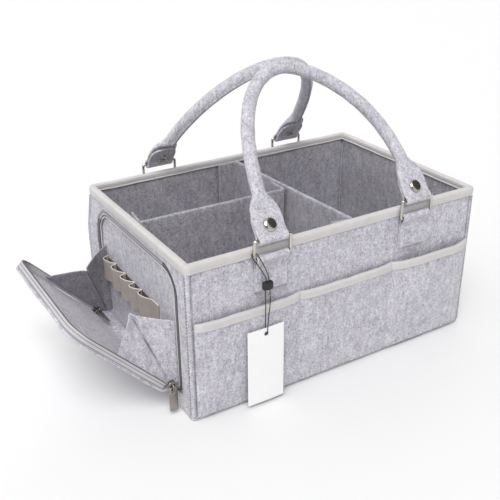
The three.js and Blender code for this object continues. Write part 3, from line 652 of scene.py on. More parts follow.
# Floor, walls and corner ribs
body = dict(length=380.0, width=250.0, height=184.0, wall=5.0, floor=4.5, gap=0.3, corner=5.0, inner=2.5,
            step=5.0, wave=0.3, floorEdge=1.7, tapeOver=1.1)
halfLength = body["length"] / 2
halfWidth = body["width"] / 2
wallBottom = body["floor"] + body["gap"]
wallTop = body["height"] - body["tapeOver"]
wallEndX = halfLength - body["wall"] - body["gap"]
wallEndY = halfWidth - body["wall"] - body["gap"]

floorPanel = pile(
    "floorPanel", lambda inset: rectLoop(halfLength - inset, halfWidth - inset, body["corner"] - inset),
    slabProfile(0, body["floor"], body["floorEdge"]))
finishPiece(floorPanel, "root", mat["felt"], "felt", "floor_panel")


# Upright felt board; across is the axis that it faces, at the place of its middle
def wallSheet(name, across, at, halfSpan, thickness, seed):
    def place(u, v):
        along = u - halfSpan
        fixed = np.full_like(u, at)
        pair = (along, fixed) if across == "Y" else (fixed, along)
        return np.stack([*pair, v + wallBottom], axis=-1)
    rim = thickness / 2
    uLine = edgeLine(2 * halfSpan, body["step"], rim)
    vLine = edgeLine(wallTop - wallBottom, body["step"], rim)
    return feltSheet(name, place, uLine, vLine, thickness, body["wave"], seed)


innerX = body["wall"] - halfLength - body["inner"] / 2
for name, node_, across, at, span, thickness, inwards in (
        ("frontWall", "front_wall", "Y", body["wall"] / 2 - halfWidth, wallEndX, body["wall"], (0, 1, 0)),
        ("backWall", "back_wall", "Y", halfWidth - body["wall"] / 2, wallEndX, body["wall"], (0, -1, 0)),
        ("rightEndWall", "right_end_wall", "X", halfLength - body["wall"] / 2, wallEndY, body["wall"],
         (-1, 0, 0)),
        ("leftEndWall", "left_end_wall", "X", innerX, wallEndY, body["inner"], (1, 0, 0))):
    wall = wallSheet(name, across, at, span, thickness, len(name))
    finishPiece(wall, "root", mat["felt"], "felt", node_)
    # Faces towards the inside of the box take the darker felt copy, as painted shade
    faceOtherWay(wall, inwards, mat["inner"])

rib = dict(proud=0.8, edge=1.5, innerEdge=0.4, outerLess=0.5, tip=0.8, tipShrink=0.3, rows=60,
           skirtFoot=173.7, fade=2.0, seamIn=2.6, seamFoot=8.0, seamUnder=1.0, seamPoints=90)
ribThread = dict(pitch=3.6, stitch=2.6, thread=0.6)


# Strip up a corner: a small square with a round outer corner, thinner where the binding covers it
def cornerRib(name, signX, signY, node_):
    side = body["wall"] + rib["proud"]
    tall = wallTop - wallBottom
    heights = edgeLine(tall, tall / rib["rows"], rib["tip"]) + wallBottom
    radii = [rib["innerEdge"], rib["edge"], body["corner"] - rib["outerLess"], rib["edge"]]
    square = roundedPolygon([(0, 0), (side, 0), (side, side), (0, side)], radii)
    covered = np.clip((heights - rib["skirtFoot"] + rib["fade"]) / rib["fade"], 0, 1)
    fromEnd = np.clip(np.minimum(heights - wallBottom, wallTop - heights) / rib["tip"], 0, 1)
    scale = (1 - covered * rib["proud"] / side) * (1 - rib["tipShrink"] * (1 - fromEnd) ** 2)
    flat = square[None] * scale[:, None, None]
    points = np.concatenate([flat, np.broadcast_to(heights[:, None, None], flat.shape[:2] + (1,))], axis=2)
    points = points * [signX, signY, 1] + [signX * (halfLength - body["wall"]),
                                           signY * (halfWidth - body["wall"]), 0]
    if signX * signY < 0:
        points = points[:, ::-1]
    return finishPiece(sweep(name, points), "root", mat["felt"], "binding", node_)


for nameX, signX in (("Left", -1), ("Right", 1)):
    for nameY, signY in (("Front", -1), ("Back", 1)):
        cornerRib(f"cornerRib{nameY}{nameX}", signX, signY, f"corner_rib_{nameY.lower()}_{nameX.lower()}")
        z = np.linspace(rib["seamFoot"], rib["skirtFoot"] - rib["seamUnder"], rib["seamPoints"])
        x, y = signX * (halfLength + rib["proud"]), signY * (halfWidth + rib["proud"])
        sew(f"ribEndSeam{nameY}{nameX}", upLine(x, y - signY * rib["seamIn"], z), np.array([signX, 0, 0.0]),
            {**ribThread, "thread": 0.8}, "root", "shadowThread")
        sew(f"ribSideSeam{nameY}{nameX}", upLine(x - signX * rib["seamIn"], y, z), np.array([0, signY, 0.0]),
            ribThread, "root", "thread")
print("floor, walls and ribs made")


# Rim binding: tape folded over the wall tops, swept round the rim. The first number of each profile point is
# how far outside the walls it is, the second its height
rimTape = dict(spacing=2.4, around=44, perCorner=7, leastCorner=1.2, wobble=0.22, waveSize=46.0,
               outerRow=175.9, innerRow=177.7, outerFace=1.12, innerFace=-6.15, pitch=3.3, stitch=2.5,
               thread=0.7)
rimProfile = [(0.35, 174.6), (0.75, 174.0), (1.15, 174.5), (1.22, 175.3), (0.98, 175.9), (1.25, 176.8),
              (1.4, 179.5), (1.25, 182.0), (0.6, 183.5), (-1.0, 184.0), (-2.7, 184.1), (-4.4, 184.0),
              (-5.7, 183.5), (-6.2, 182.0), (-6.3, 179.8), (-6.0, 178.4), (-6.05, 177.8), (-6.75, 177.1),
              (-6.7, 176.3), (-6.0, 175.9), (-5.35, 176.5), (-5.3, 179.5), (-5.2, 182.4), (-4.2, 183.0),
              (-0.8, 183.0), (0.2, 182.4), (0.3, 179.5), (0.3, 176.5)]


def rimPath(offset):
    perSide = int(round(halfLength * 2 / rimTape["spacing"]))
    radius = max(body["corner"] + offset, rimTape["leastCorner"])
    return rectLoop(halfLength + offset, halfWidth + offset, radius, perSide, rimTape["perCorner"])


profile = smoothLine(rimProfile, rimTape["around"], closed=True)
rimRings = np.stack([np.column_stack([rimPath(o), np.full(len(rimPath(0)), z)]) for o, z in profile], axis=1)
waves = softNoise(rimRings[:, :1].repeat(rimRings.shape[1], axis=1), rimTape["waveSize"], 5)
rimRings[..., 2] += rimTape["wobble"] * waves
rimUv = np.stack(np.meshgrid(distances(rimRings[:, 0]), distances(profile), indexing="ij"), axis=-1)
rimBinding = sweep("rimBinding", rimRings, closed=True, uv=rimUv)
finishPiece(rimBinding, "root", mat["binding"], "binding", "rim_binding")
# Rows of stitches round the rim, on the outer and the inner face of the tape
for name, offset, height, outwards in (("rimStitchesOuter", rimTape["outerFace"], rimTape["outerRow"], 1),
                                       ("rimStitchesInner", rimTape["innerFace"], rimTape["innerRow"], -1)):
    flat = rimPath(offset)
    flat = np.concatenate([flat, flat[:1]])
    path = np.column_stack([flat, np.full(len(flat), height)])
    normal = unit(np.cross(np.gradient(path, axis=0), [0, 0, 1.0]) * outwards)
    sew(name, path, normal, rimTape, "root", "thread", "binding")
print("rim binding made")


# Pockets: a felt sheet on each long side, sewn down at its ends and along two lines, with a taped top edge
pocket = dict(height=119.5, tapeStand=1.1, felt=3.0, endFelt=1.2, endTaper=7.0, bulges=(3.8, 3.4, 7.0),
              lean=1.5, tape=9.0, seams=(-59.0, 67.0), step=2.5, wave=0.35, crease=0.35, creaseWidth=1.9,
              pitch=3.4, stitch=2.6, thread=0.7, tapeRow=112.6, sag=0.5, sagSize=60.0,
              tapeCorners=(0.6, 0.6, 1.9, 1.9), tapeEnd=1.6, tapeEndShare=0.4, dip=0.28, dipWidth=0.7,
              seamLow=3.0, seamUnder=1.0, rowIn=2.5, rowSunk=0.2)
pocketTop = pocket["height"] - pocket["tapeStand"]
pocketEnd = wallEndX - body["gap"]
pocketSeams = np.array([-pocketEnd, *pocket["seams"], pocketEnd])


# How far the sheet's inner face is from the wall: the gap, plus a lean that grows evenly with height, plus a
# bulge that is flat across each pocket (one less the fourth power) and grows fast from the floor (power 2.2)
def pocketGape(x, z):
    index = np.clip(np.searchsorted(pocketSeams, x, side="right") - 1, 0, 2)
    share = (x - pocketSeams[index]) / (pocketSeams[index + 1] - pocketSeams[index])
    across = 1 - np.abs(2 * share - 1) ** 4
    height = np.clip(z / pocketTop, 0, 1)
    bulge = np.array(pocket["bulges"])[index] * across * (1 - (1 - height) ** 2.2)
    return body["gap"] + pocket["lean"] * height + bulge


def pocketFelt(x):
    fade = np.clip((pocketEnd - np.abs(x)) / pocket["endTaper"], 0, 1)
    crease = sum(np.exp(-((x - seam) / pocket["creaseWidth"]) ** 2) for seam in pocket["seams"])
    return (pocket["endFelt"] + (pocket["felt"] - pocket["endFelt"]) * fade) * (1 - pocket["crease"] * crease)


def pocketMiddle(u, v):
    x, z = u - pocketEnd, v + wallBottom
    return np.stack([x, -(halfWidth + pocketGape(x, z) + pocketFelt(x) / 2), z], axis=-1)


def pocketSag(x):
    return pocket["sag"] * softNoise(x[..., None] * np.ones(3), pocket["sagSize"], 8)


# Cross-section of the tape over the sheet's top edge: its first number is the depth from the inner face.
# Towards its two ends the tape narrows as a quarter circle
def pocketTapeRings():
    x = np.linspace(-pocketEnd, pocketEnd, 260)
    depth = pocket["felt"] + 2 * pocket["tapeStand"]
    top, bottom = pocket["height"], pocket["height"] - pocket["tape"]
    outline = roundedPolygon([(0, bottom), (depth, bottom), (depth, top), (0, top)], pocket["tapeCorners"], 4)
    # More points down the outer face, so that the tape can dip at its stitches
    face = np.linspace(bottom + 0.8, top - 2.2, 9)
    dip = pocket["dip"] * np.exp(-((face - pocket["tapeRow"]) / pocket["dipWidth"]) ** 2)
    outline = np.concatenate([outline[:10], np.column_stack([depth - dip, face]), outline[10:]])
    narrow = quarterRound((pocketEnd - np.abs(x)) / pocket["tapeEnd"])[:, None]
    narrow = pocket["tapeEndShare"] + (1 - pocket["tapeEndShare"]) * narrow
    middle = (bottom + top) / 2
    z = middle + (outline[None, :, 1] - middle) * (0.8 + 0.2 * narrow) + pocketSag(x[:, None])
    x_ = x[:, None] + 0 * z
    thick = (pocketFelt(x) + 2 * pocket["tapeStand"])[:, None] * narrow
    near = halfWidth + pocketGape(x_, z) - pocket["tapeStand"] * narrow
    rings = np.stack([x_, -(near + outline[None, :, 0] / depth * thick), z], axis=-1)
    return rings, np.stack(np.meshgrid(x, distances(outline), indexing="ij"), axis=-1)


def pocketSide(side):
    place = onSide(side)
    uLine = edgeLine(2 * pocketEnd, pocket["step"], pocket["felt"] / 2)
    vLine = edgeLine(pocketTop - wallBottom, pocket["step"] * 1.6, pocket["felt"] / 2)
    sheet = feltSheet(
        side + "PocketPanel", lambda u, v: place(pocketMiddle(u, v)), uLine, vLine, pocket["felt"],
        pocket["wave"], 6, grow=lambda u, v: pocketFelt(u - pocketEnd) / pocket["felt"])
    finishPiece(sheet, "root", mat["felt"], "felt", side + "_pocket_panel")
    rings, uv = pocketTapeRings()
    tape = sweep(side + "PocketBinding", place(rings), uv=uv)
    finishPiece(tape, "root", mat["binding"], "binding", side + "_pocket_binding")
    outward = place(np.array([0.0, -1.0, 0.0]))
    for index, seam in enumerate(pocket["seams"]):
        z = np.linspace(wallBottom + pocket["seamLow"],
                        pocket["height"] - pocket["tape"] - pocket["seamUnder"], 40)
        x = np.full_like(z, seam)
        path = np.stack([x, -(halfWidth + pocketGape(x, z) + pocketFelt(x)), z], axis=-1)
        sew(f"{side}PocketSeam{index}", place(path), outward, pocket, "root", "darkThread")
    x = np.linspace(pocket["rowIn"] - pocketEnd, pocketEnd - pocket["rowIn"], 300)
    z = np.full_like(x, pocket["tapeRow"])
    y = -(halfWidth + pocketGape(x, z) + pocketFelt(x) + pocket["tapeStand"] - pocket["rowSunk"])
    path = np.stack([x, y, z + pocketSag(x)], axis=-1)
    sew(side + "PocketTapeStitches", place(path), outward, pocket, "root", "thread", "binding")


pocketSide("front")
pocketSide("back")
print("pockets made")


# Tabs: a felt strip folded round the lower bar of each ring, its two plies sewn to the wall
tab = dict(offset=95.0, width=38.5, felt=2.0, behind=0.3, before=0.35, drop=37.5, neck=11.0, step=1.6,
           wave=0.18, box=(12.5, 4.5, 22.5), pitch=2.6, stitch=2.0, thread=0.6)
ring = dict(wire=3.5, width=43.0, height=20.5, bar=172.5, hole=2.1, out=5.5, corner=2.6, spacing=0.8,
            around=20)
barOut = halfWidth + ring["out"]
upperBar = ring["bar"] + ring["height"]


# Strip's middle line as outward distance and height: up behind, over the bar, and down in front
def tabLine():
    loop = ring["hole"] + tab["felt"] / 2
    behind, before = tab["behind"] + tab["felt"] / 2, tab["before"] + tab["felt"] * 1.5
    bottom, neck = ring["bar"] - tab["drop"], ring["bar"] - tab["neck"]
    a = np.linspace(np.pi, -0.25, 14)
    over = np.column_stack([ring["out"] + loop * np.cos(a), ring["bar"] + loop * np.sin(a)])
    up = [(behind, bottom), (behind, bottom + 12), (behind, neck)]
    down = [(before + 2.0, neck + 4.5), (before + 0.2, neck - 0.5), (before, neck - 6),
            (before, bottom + 12), (before, bottom)]
    line = np.concatenate([up, over, down])
    line = smoothLine(resample(upright(line[:, 0], line[:, 1]), spacing=3.0), 160)
    return resample(line, spacing=0.7)[:, [0, 2]]


def addTab(side, end, x):
    line = tabLine()
    along = distances(line)

    def place(u, v):
        out, z = np.interp(u, along, line[:, 0]), np.interp(u, along, line[:, 1])
        return onSide(side)(np.stack([x + v - tab["width"] / 2, -halfWidth - out, z], axis=-1))
    name = f"{side.title()}{end.title()}"
    uLine = edgeLine(along[-1], 0.8, tab["felt"] / 2)
    vLine = edgeLine(tab["width"], tab["step"], tab["felt"] / 2)
    strip = feltSheet("handleTab" + name, place, uLine, vLine, tab["felt"], tab["wave"], 11, waveSize=20.0)
    finishPiece(strip, "root", mat["felt"], "felt", f"handle_tab_{side}_{end}")
    # Box of stitches with a cross in it
    w, low, high = tab["box"]
    legs = [[(-w, low), (w, low), (w, high), (-w, high), (-w, low)], [(-w, low), (w, high)],
            [(-w, high), (w, low)]]
    out = -halfWidth - tab["before"] - 2 * tab["felt"] - 0.1
    outward = onSide(side)(np.array([0, -1.0, 0]))
    rows = []
    for leg in [np.array(leg, float) for leg in legs]:
        path = np.column_stack([x + leg[:, 0], np.full(len(leg), out), ring["bar"] - tab["drop"] + leg[:, 1]])
        path = onSide(side)(resample(path, spacing=0.5))
        rows.append(stitchRow("tabRow", path, outward, tab["pitch"], tab["stitch"], tab["thread"]))
    finishPiece(joinPieces("tabStitches" + name, rows), "root", mat["darkThread"], "felt")


def addRing(side, end, x):
    w, h = ring["width"] / 2, ring["height"]
    flat = roundedPolygon([(-w, 0), (w, 0), (w, h), (-w, h)], ring["corner"], 7)
    path = np.column_stack([x + flat[:, 0], np.full(len(flat), -barOut), ring["bar"] + flat[:, 1]])
    path = resample(path, spacing=ring["spacing"], closed=True)
    _, side_, normal = pathFrames(path, closed=True, up=(0, -1, 0))
    rings = carry(path, circle(ring["around"], ring["wire"] / 2), side_, normal)
    wire = sweep(f"ring{side.title()}{end.title()}", onSide(side)(rings), closed=True)
    finishPiece(wire, f"{side}_rings", mat["nickel"], "nickel", f"ring_{side}_{end}")


for side in ("front", "back"):
    for end, x in (("left", -tab["offset"]), ("right", tab["offset"])):
        localX = x if side == "front" else -x
        addTab(side, end, localX)
        addRing(side, end, localX)
print("tabs and rings made")


# Handles, in their own plane: X across, Y towards the inside, Z up from the rings' upper bars
handles = dict(
    front=dict(lean=36.7, rise=172.5, sideRoundness=1.76, topRoundness=2.64, skew=-11.45, lift=6.35),
    back=dict(lean=39.4, rise=166.2, sideRoundness=2.18, topRoundness=1.98, skew=-9.61, lift=3.59),
)
grip = dict(radius=7.0, neck=45.0, foot=11.0, felt=3.0, ply=1.65, width=17.5, around=44, steps=150,
            legSteps=34, lip=1.9, lipWidth=0.26, groove=2.1, grooveWidth=0.07, wave=0.16, pitch=3.2,
            stitch=2.4, thread=0.65, flapTop=34.0, flapRound=17.0, flare=1.6, straight=14.0, turnOver=26.0,
            core=4.4, rowIn=2.3, seamApart=1.5, crowding=1.7, lipFrom=41.0, lipOver=5.0, footRound=1.2)
# Half width, half depth, middle and squareness of the paddle at heights above the bar
paddle = np.array([(11, 17.5, 1.50, -1.65, 9.0), (18, 17.4, 1.50, -1.65, 9.0), (25, 16.9, 1.60, -1.65, 8.0),
                   (31, 15.7, 2.10, -1.40, 6.0), (36, 13.4, 3.30, -1.00, 4.5), (40, 10.6, 4.90, -0.55, 3.2),
                   (43, 8.5, 6.20, -0.20, 2.5), (46, 7.2, 7.00, 0.0, 2.0)])


# Squared-off half ellipse pushed to one side: x = -95 sign(cos) |cos|^(2/side) + skew sin squared,
# z = rise |sin|^(2/top) + lift sin of twice the angle
def archPoint(shape, angle):
    c, s = np.cos(angle), np.sin(angle)
    x = -tab["offset"] * np.sign(c) * np.abs(c) ** (2 / shape["sideRoundness"]) + shape["skew"] * s * s
    z = shape["rise"] * np.abs(s) ** (2 / shape["topRoundness"]) + shape["lift"] * np.sin(2 * angle)
    return x, z


def handlePath(shape):
    angle = np.linspace(0.002, np.pi - 0.002, 4000)
    x, z = archPoint(shape, angle)
    top = np.argmax(z)
    heights = np.linspace(grip["foot"], grip["neck"], grip["legSteps"])
    blend = smoothStep((heights - grip["straight"]) / grip["turnOver"])
    leftX = np.interp(heights, z[:top], x[:top])
    rightX = np.interp(heights, z[top:][::-1], x[top:][::-1])
    left = upright(-tab["offset"] + (leftX + tab["offset"]) * blend, heights)
    right = upright(tab["offset"] + (rightX - tab["offset"]) * blend, heights)
    above = z > grip["neck"]
    middle = resample(upright(x[above], z[above]), count=grip["steps"])
    return np.concatenate([left[:-1], middle, right[::-1][1:]])


def handleWorld(side):
    lean = math.radians(handles[side]["lean"])
    rows = np.array([[1, 0, 0], [0, math.cos(lean), math.sin(lean)], [0, -math.sin(lean), math.cos(lean)]])
    sign = -1.0 if side == "front" else 1.0
    half_ = np.diag([-sign, -sign, 1.0])
    return lambda points: points @ rows.T @ half_.T + np.array([0, sign * barOut, upperBar])


def handleSections(path):
    height = path[:, 2]
    step = np.arange(len(path))
    nearFoot = (step < grip["legSteps"]) | (step >= len(path) - grip["legSteps"])
    height = np.where(nearFoot, height, grip["neck"] + 5)
    w, d, middle, square = [np.interp(height, paddle[:, 0], paddle[:, k])[:, None] for k in (1, 2, 3, 4)]
    # Angles lie closer together at the seam, on the inner side
    even = np.linspace(-1, 1, grip["around"], endpoint=False)
    fromSeam = np.pi * np.sign(even) * np.abs(even) ** grip["crowding"]
    angle = np.pi / 2 + fromSeam
    c, s = np.cos(angle)[None], np.sin(angle)[None]
    tube = np.clip((height - grip["lipFrom"]) / grip["lipOver"], 0, 1)[:, None]
    lips = grip["lip"] * np.exp(-(fromSeam / grip["lipWidth"]) ** 2)
    lips = (lips - grip["groove"] * np.exp(-(fromSeam / grip["grooveWidth"]) ** 2))[None]
    reach = 1 + tube * lips / grip["radius"]
    foot = quarterRound((path[:, 2] - grip["foot"]) / grip["footRound"])[:, None]
    foot = np.where(nearFoot[:, None], foot * 0.9 + 0.1, 1)
    across = w * np.sign(c) * np.abs(c) ** (2 / square) * reach * (0.97 + 0.03 * foot)
    depth = d * np.sign(s) * np.abs(s) ** (2 / square) * reach * foot + middle
    return np.stack([across, depth], axis=-1)


# End of the strip: it comes down in front, goes round the bar and ends inside as a round-topped flap
def paddleFold(name, side, x):
    ply, thick = grip["ply"], grip["felt"] / 2
    radius = ring["hole"] + thick
    a = np.linspace(np.pi, 2 * np.pi, 14)
    before = [(-ply, 13.5), (-ply, 9.0), (-ply - 0.05, 6.2)]
    behind = [(ply + 0.05, 6.2), (ply, 9.0), (ply, 18), (ply, 24), (ply + 0.5, 29),
              (ply + grip["flare"], grip["flapTop"])]
    line = np.concatenate([before, np.column_stack([radius * np.cos(a), radius * np.sin(a)]), behind])
    line = resample(np.column_stack([0 * line[:, 0], line]), spacing=2.5)
    line = resample(smoothLine(line, 150), spacing=0.6)
    along = distances(line)
    length = along[-1]
    roundEnd = lambda u: quarterRound((length - u) / grip["flapRound"])

    def place(u, v):
        across = (grip["width"] - 0.1) * (0.06 + 0.94 * roundEnd(u))
        y, z = np.interp(u, along, line[:, 1]), np.interp(u, along, line[:, 2])
        return handleWorld(side)(np.stack([x + v * across, y, z], axis=-1))

    # Its thickness falls as a quarter circle towards its rim
    def grow(u, v):
        fromSide = roundEnd(u) * grip["width"] * (1 - np.abs(v))
        return quarterRound(fromSide / thick) * quarterRound(np.minimum(u, length - u) / thick)
    uLine = edgeLine(length, 0.9, thick)
    vLine = np.concatenate([[-1, -0.99, -0.97, -0.94], np.linspace(-0.9, 0.9, 19), [0.94, 0.97, 0.99, 1]])
    return feltSheet(name, place, uLine, vLine, grip["felt"], rim=0.01 + thick * 0.02, grow=grow)


rivetDome = dict(radius=7.5, rise=3.2, seat=3.4, back=6.0, backRise=1.4, place=12.6, around=36)


# Rivet across the paddle: a low dome outside, and a rolled ring with a hollow middle inside
def addRivet(side, end, x):
    r, rise, seat = rivetDome["radius"], rivetDome["rise"], rivetDome["seat"]
    a = np.linspace(0.04, np.pi / 2, 12)
    dome = [(r * math.sin(t), seat + 0.5 + (rise - 0.5) * math.cos(t)) for t in a]
    shank = [(r, seat + 0.2), (r - 0.5, seat - 0.3), (2.0, seat - 0.3), (2.0, -seat + 0.3)]
    b, low = rivetDome["back"], -seat - rivetDome["backRise"]
    roll = [(b - 0.4, -seat + 0.3), (b, -seat - 0.1), (b - 0.1, low + 0.5), (b - 0.6, low + 0.1),
            (b - 1.2, low), (b - 1.8, low + 0.15), (b - 2.3, low + 0.6), (b - 2.6, -seat - 0.2),
            (0.6, -seat - 0.15)]
    world = handleWorld(side)
    place = lambda rings: world(np.stack([x + rings[..., 0], -rings[..., 2],
                                          rivetDome["place"] + rings[..., 1]], axis=-1))
    outline = lambda radius: circle(rivetDome["around"], radius)
    piece = pile(f"{side}HandleRivet{end.title()}", outline, (dome + shank + roll)[::-1], place)
    finishPiece(piece, f"{side}_handle", mat["dome"], "zip_metal", f"{side}_handle_rivet_{end}")


def addHandle(side):
    world = handleWorld(side)
    turn = lambda directions: world(directions) - world(0 * directions)
    handleBody = f"{side}_handle"
    path = handlePath(handles[side])
    _, side_, normal = pathFrames(path, up=(0, 1.0, 0))
    rings = carry(path, handleSections(path), side_, normal)
    swell = softNoise(rings, 14.0, 21)[..., None] * grip["wave"]
    rings = rings + swell * unit(rings - path[:, None])
    grips = [sweep(f"{side}HandleGrip", world(rings))]
    for sign in (-1, 1):
        grips.append(paddleFold(f"{side}HandleFold{sign}", side, sign * tab["offset"]))
    finishPiece(joinPieces(f"{side}Handle", grips), handleBody, mat["felt"], "felt", handleBody)
    # Core of the sleeve, a plain cord inside it
    corePath = path[path[:, 2] > grip["neck"] + 1.5]
    _, coreSide, coreNormal = pathFrames(corePath, up=(0, 1.0, 0))
    core = sweep(f"{side}HandleCore", world(carry(corePath, circle(14, grip["core"]), coreSide, coreNormal)))
    finishPiece(core, handleBody, mat["cotton"], "cotton", f"{side}_handle_core")
    # Stitches along both edges of each paddle
    rows = []
    height = np.linspace(5, 40, 60)
    reach = np.interp(height, paddle[:, 0], paddle[:, 1]) - grip["rowIn"]
    depth = np.interp(height, paddle[:, 0], paddle[:, 3] - paddle[:, 2]) - 0.05
    low = height < grip["foot"]
    depth[low] = np.interp(height[low], [5, grip["foot"]], [-4.6, -3.2])
    outward = turn(np.array([[0, -1.0, 0]]))[0]
    for sign in (-1, 1):
        for hand in (-1, 1):
            flat = np.column_stack([sign * tab["offset"] + hand * reach, depth, height])
            rows.append(stitchRow("paddleRow", world(flat), outward, grip["pitch"], grip["stitch"],
                                  grip["thread"]))
    finishPiece(joinPieces(f"{side}HandleStitches", rows), handleBody, mat["thread"], "felt")
    # Stitches beside the seam along the inner side of the sleeve
    seam = path[path[:, 2] > grip["neck"] + 2]
    _, seamSide, seamNormal = pathFrames(seam, up=(0, 1.0, 0))
    row = seam + seamSide * grip["seamApart"] + seamNormal * (grip["radius"] + 1.05)
    sew(f"{side}SeamStitches", world(row), turn(seamNormal), grip, handleBody, "darkThread")
    sign = 1 if side == "front" else -1
    for end, x in (("left", -tab["offset"] * sign), ("right", tab["offset"] * sign)):
        addRivet(side, end, x)


addHandle("front")
addHandle("back")
print("handles made")


# Zipped end: felt border with an arched window, the wall's zip in the window, and the flap with its zip rim

# Flat felt plate between an outer and an inner outline, both given as distances from a centre at each angle;
# its two edges are rounded. place turns across, up and depth into x, y, z
def washer(name, angles, outer, inner, thickness, place, rows=14, rim=None, wave=0.0):
    rim = rim or thickness / 2
    width = outer - inner
    near = np.array([0, 0.08, 0.25, 0.55, 1.0])
    middle = np.linspace(0, 1, rows)[1:-1]
    share = rim / np.maximum(width, 1e-6)[:, None]
    t = np.concatenate([near * share, share + middle * (1 - 2 * share), 1 - near[::-1] * share], axis=1)
    radius = inner[:, None] + width[:, None] * t
    fromEdge = np.minimum(t, 1 - t) * width[:, None]
    half = thickness / 2 * quarterRound(fromEdge / rim)
    across = radius * np.cos(angles)[:, None]
    up = radius * np.sin(angles)[:, None]
    bend = wave * softNoise(np.stack([across, up, 0 * up], axis=-1), 45.0, 31) if wave else 0.0
    front = place(across, up, bend + half)
    back = place(across, up, bend - half)
    rings = np.concatenate([front, back[:, ::-1][:, 1:-1]], axis=1)
    uv = np.stack([np.concatenate([across, across[:, ::-1][:, 1:-1]], axis=1),
                   np.concatenate([up, up[:, ::-1][:, 1:-1]], axis=1)], axis=-1)
    return sweep(name, rings, closed=True, uv=uv)


# Distance from a centre to a closed outline along each angle
def rayReach(outline, angles):
    step = np.roll(outline, -1, axis=0) - outline
    direction = np.stack([np.cos(angles), np.sin(angles)], axis=1)
    cross = direction[:, None, 0] * step[None, :, 1] - direction[:, None, 1] * step[None, :, 0]
    cross = np.where(np.abs(cross) < 1e-12, 1e-12, cross)
    reach = (outline[None, :, 0] * step[None, :, 1] - outline[None, :, 1] * step[None, :, 0]) / cross
    crossed = outline[None, :, 0] * direction[:, None, 1] - outline[None, :, 1] * direction[:, None, 0]
    share = crossed / cross
    good = (share >= -1e-9) & (share <= 1 + 1e-9) & (reach > 0)
    return np.where(good, reach, -1).max(axis=1)


# Arched outline with an open foot, as across and up: up one side, over, and down the other
def archLine(half, top, radius, foot, steps=12):
    a = np.linspace(np.pi, np.pi / 2, steps)
    left = np.column_stack([radius - half + radius * np.cos(a), top - radius + radius * np.sin(a)])
    right = left[::-1] * [-1, 1]
    return np.concatenate([[(-half, foot)], left, right, [(half, foot)]])


endWall = dict(borderX=-188.9, borderFelt=2.2, window=103.3, windowTop=167.8, windowFoot=21.2,
               windowRadius=30.3, centre=95.0, rays=220, wave=0.12)
zip_ = dict(foot=26.0, top=167.5, outer=103.0, radius=30.0, trimWidth=1.1, trimX=-189.2, trimThick=1.5,
            tapeX=-188.7, tapeThick=1.2, tapeWidth=6.9, coilX=-189.45, coilWidth=2.7, pitch=1.25,
            tooth=0.95, coilRise=1.1, coverDrop=16.0, coverTo=-72.0, edgeApart=1.7,
            tailLow=(-189.4, -98.8, 27.6), tailHigh=(-200.3, -98.8, 30.4), tailLength=11.3, tailWidth=5.6,
            tailSide=-101.6, edgeStitches=(2.6, 2.5, 0.9))
flap = dict(hinge=23.0, length=150.0, half=94.5, radius=24.0, felt=3.0, standoff=9.0, bend=18.0, open=43.0,
            foot=18.3, step=3.0, wave=0.55, rimOuter=-8.9, rimFree=-1.5, rimThick=1.3, coilAt=-1.05,
            coilWidth=1.9, pitch=1.25, tooth=0.95, coilIn=0.25, sewn=3.2, rimSeams=(-7.9, -4.2),
            lateRows=(14, 10, 7, 4.6, 3), stitches=(3.2, 2.4, 0.65), seamStitches=(2.6, 2.4, 0.7))


def addBorder():
    centre = endWall["centre"]
    window = archLine(endWall["window"], endWall["windowTop"], endWall["windowRadius"],
                      endWall["windowFoot"], 16)
    window = window - [0, centre]
    left, right = -wallEndY, wallEndY
    outer = np.array([[left, wallBottom], [right, wallBottom], [right, wallTop], [left, wallTop]])
    outer = outer - [0, centre]
    corners = np.concatenate([outer, window[[0, -1]]])
    even = np.linspace(-np.pi, np.pi, endWall["rays"], endpoint=False)
    angles = np.sort(np.concatenate([even, np.arctan2(corners[:, 1], corners[:, 0])]))
    place = lambda across, up, depth: np.stack([endWall["borderX"] - depth, across, up + centre], axis=-1)
    reaches = [rayReach(outline, angles) for outline in (outer, window)]
    border = washer("leftEndBorder", angles, *reaches, endWall["borderFelt"], place, wave=endWall["wave"])
    finishPiece(border, "root", mat["felt"], "felt", "left_end_border")


# Points along an arched line and the directions out of the arch there
def archFrame(half, top, radius, foot, spacing):
    line = resample(flatLine(archLine(half, top, radius, foot, 20)), spacing=spacing)
    tangent = unit(np.gradient(line, axis=0))
    return line, np.column_stack([-tangent[:, 1], tangent[:, 0]])


# Ribbon along an arched line; across the ribbon runs outwards from the line
def archRibbon(name, half, top, radius, foot, width, thickness, place, spacing=2.0):
    line, outward = archFrame(half, top, radius, foot, spacing)
    along = distances(line)
    spot = lambda u, v: place(pointsAt(u, along, line[:, :2]), pointsAt(u, along, outward), v)
    uLine = edgeLine(along[-1], spacing, thickness / 2)
    return feltSheet(name, spot, uLine, edgeLine(width, width / 5, thickness / 2), thickness)


# Teeth of a coil zip: flattened beads that lie across the line
def teethRow(name, path, across, normal, pitch, length, width, rise):
    along = distances(path)
    count = max(int(along[-1] / pitch), 2)
    where = (np.arange(count) + 0.5) * along[-1] / count
    pick = lambda values: pointsAt(where, along, np.broadcast_to(values, path.shape))
    across, normal = pick(across), pick(normal)
    return beadRow(name, pick(path), (across, np.cross(across, normal), normal), (length, width, rise),
                   toothBead)


def archTeeth(name, half, top, radius, foot, place, normal, look, rise):
    line, outward = archFrame(half, top, radius, foot, 1.0)
    spots = place(line[:, :2], outward, np.zeros(len(line)))
    across = unit(place(line[:, :2], outward, np.ones(len(line))) - spots)
    return teethRow(name, spots, across, normal, look["pitch"], look["coilWidth"], look["tooth"], rise)


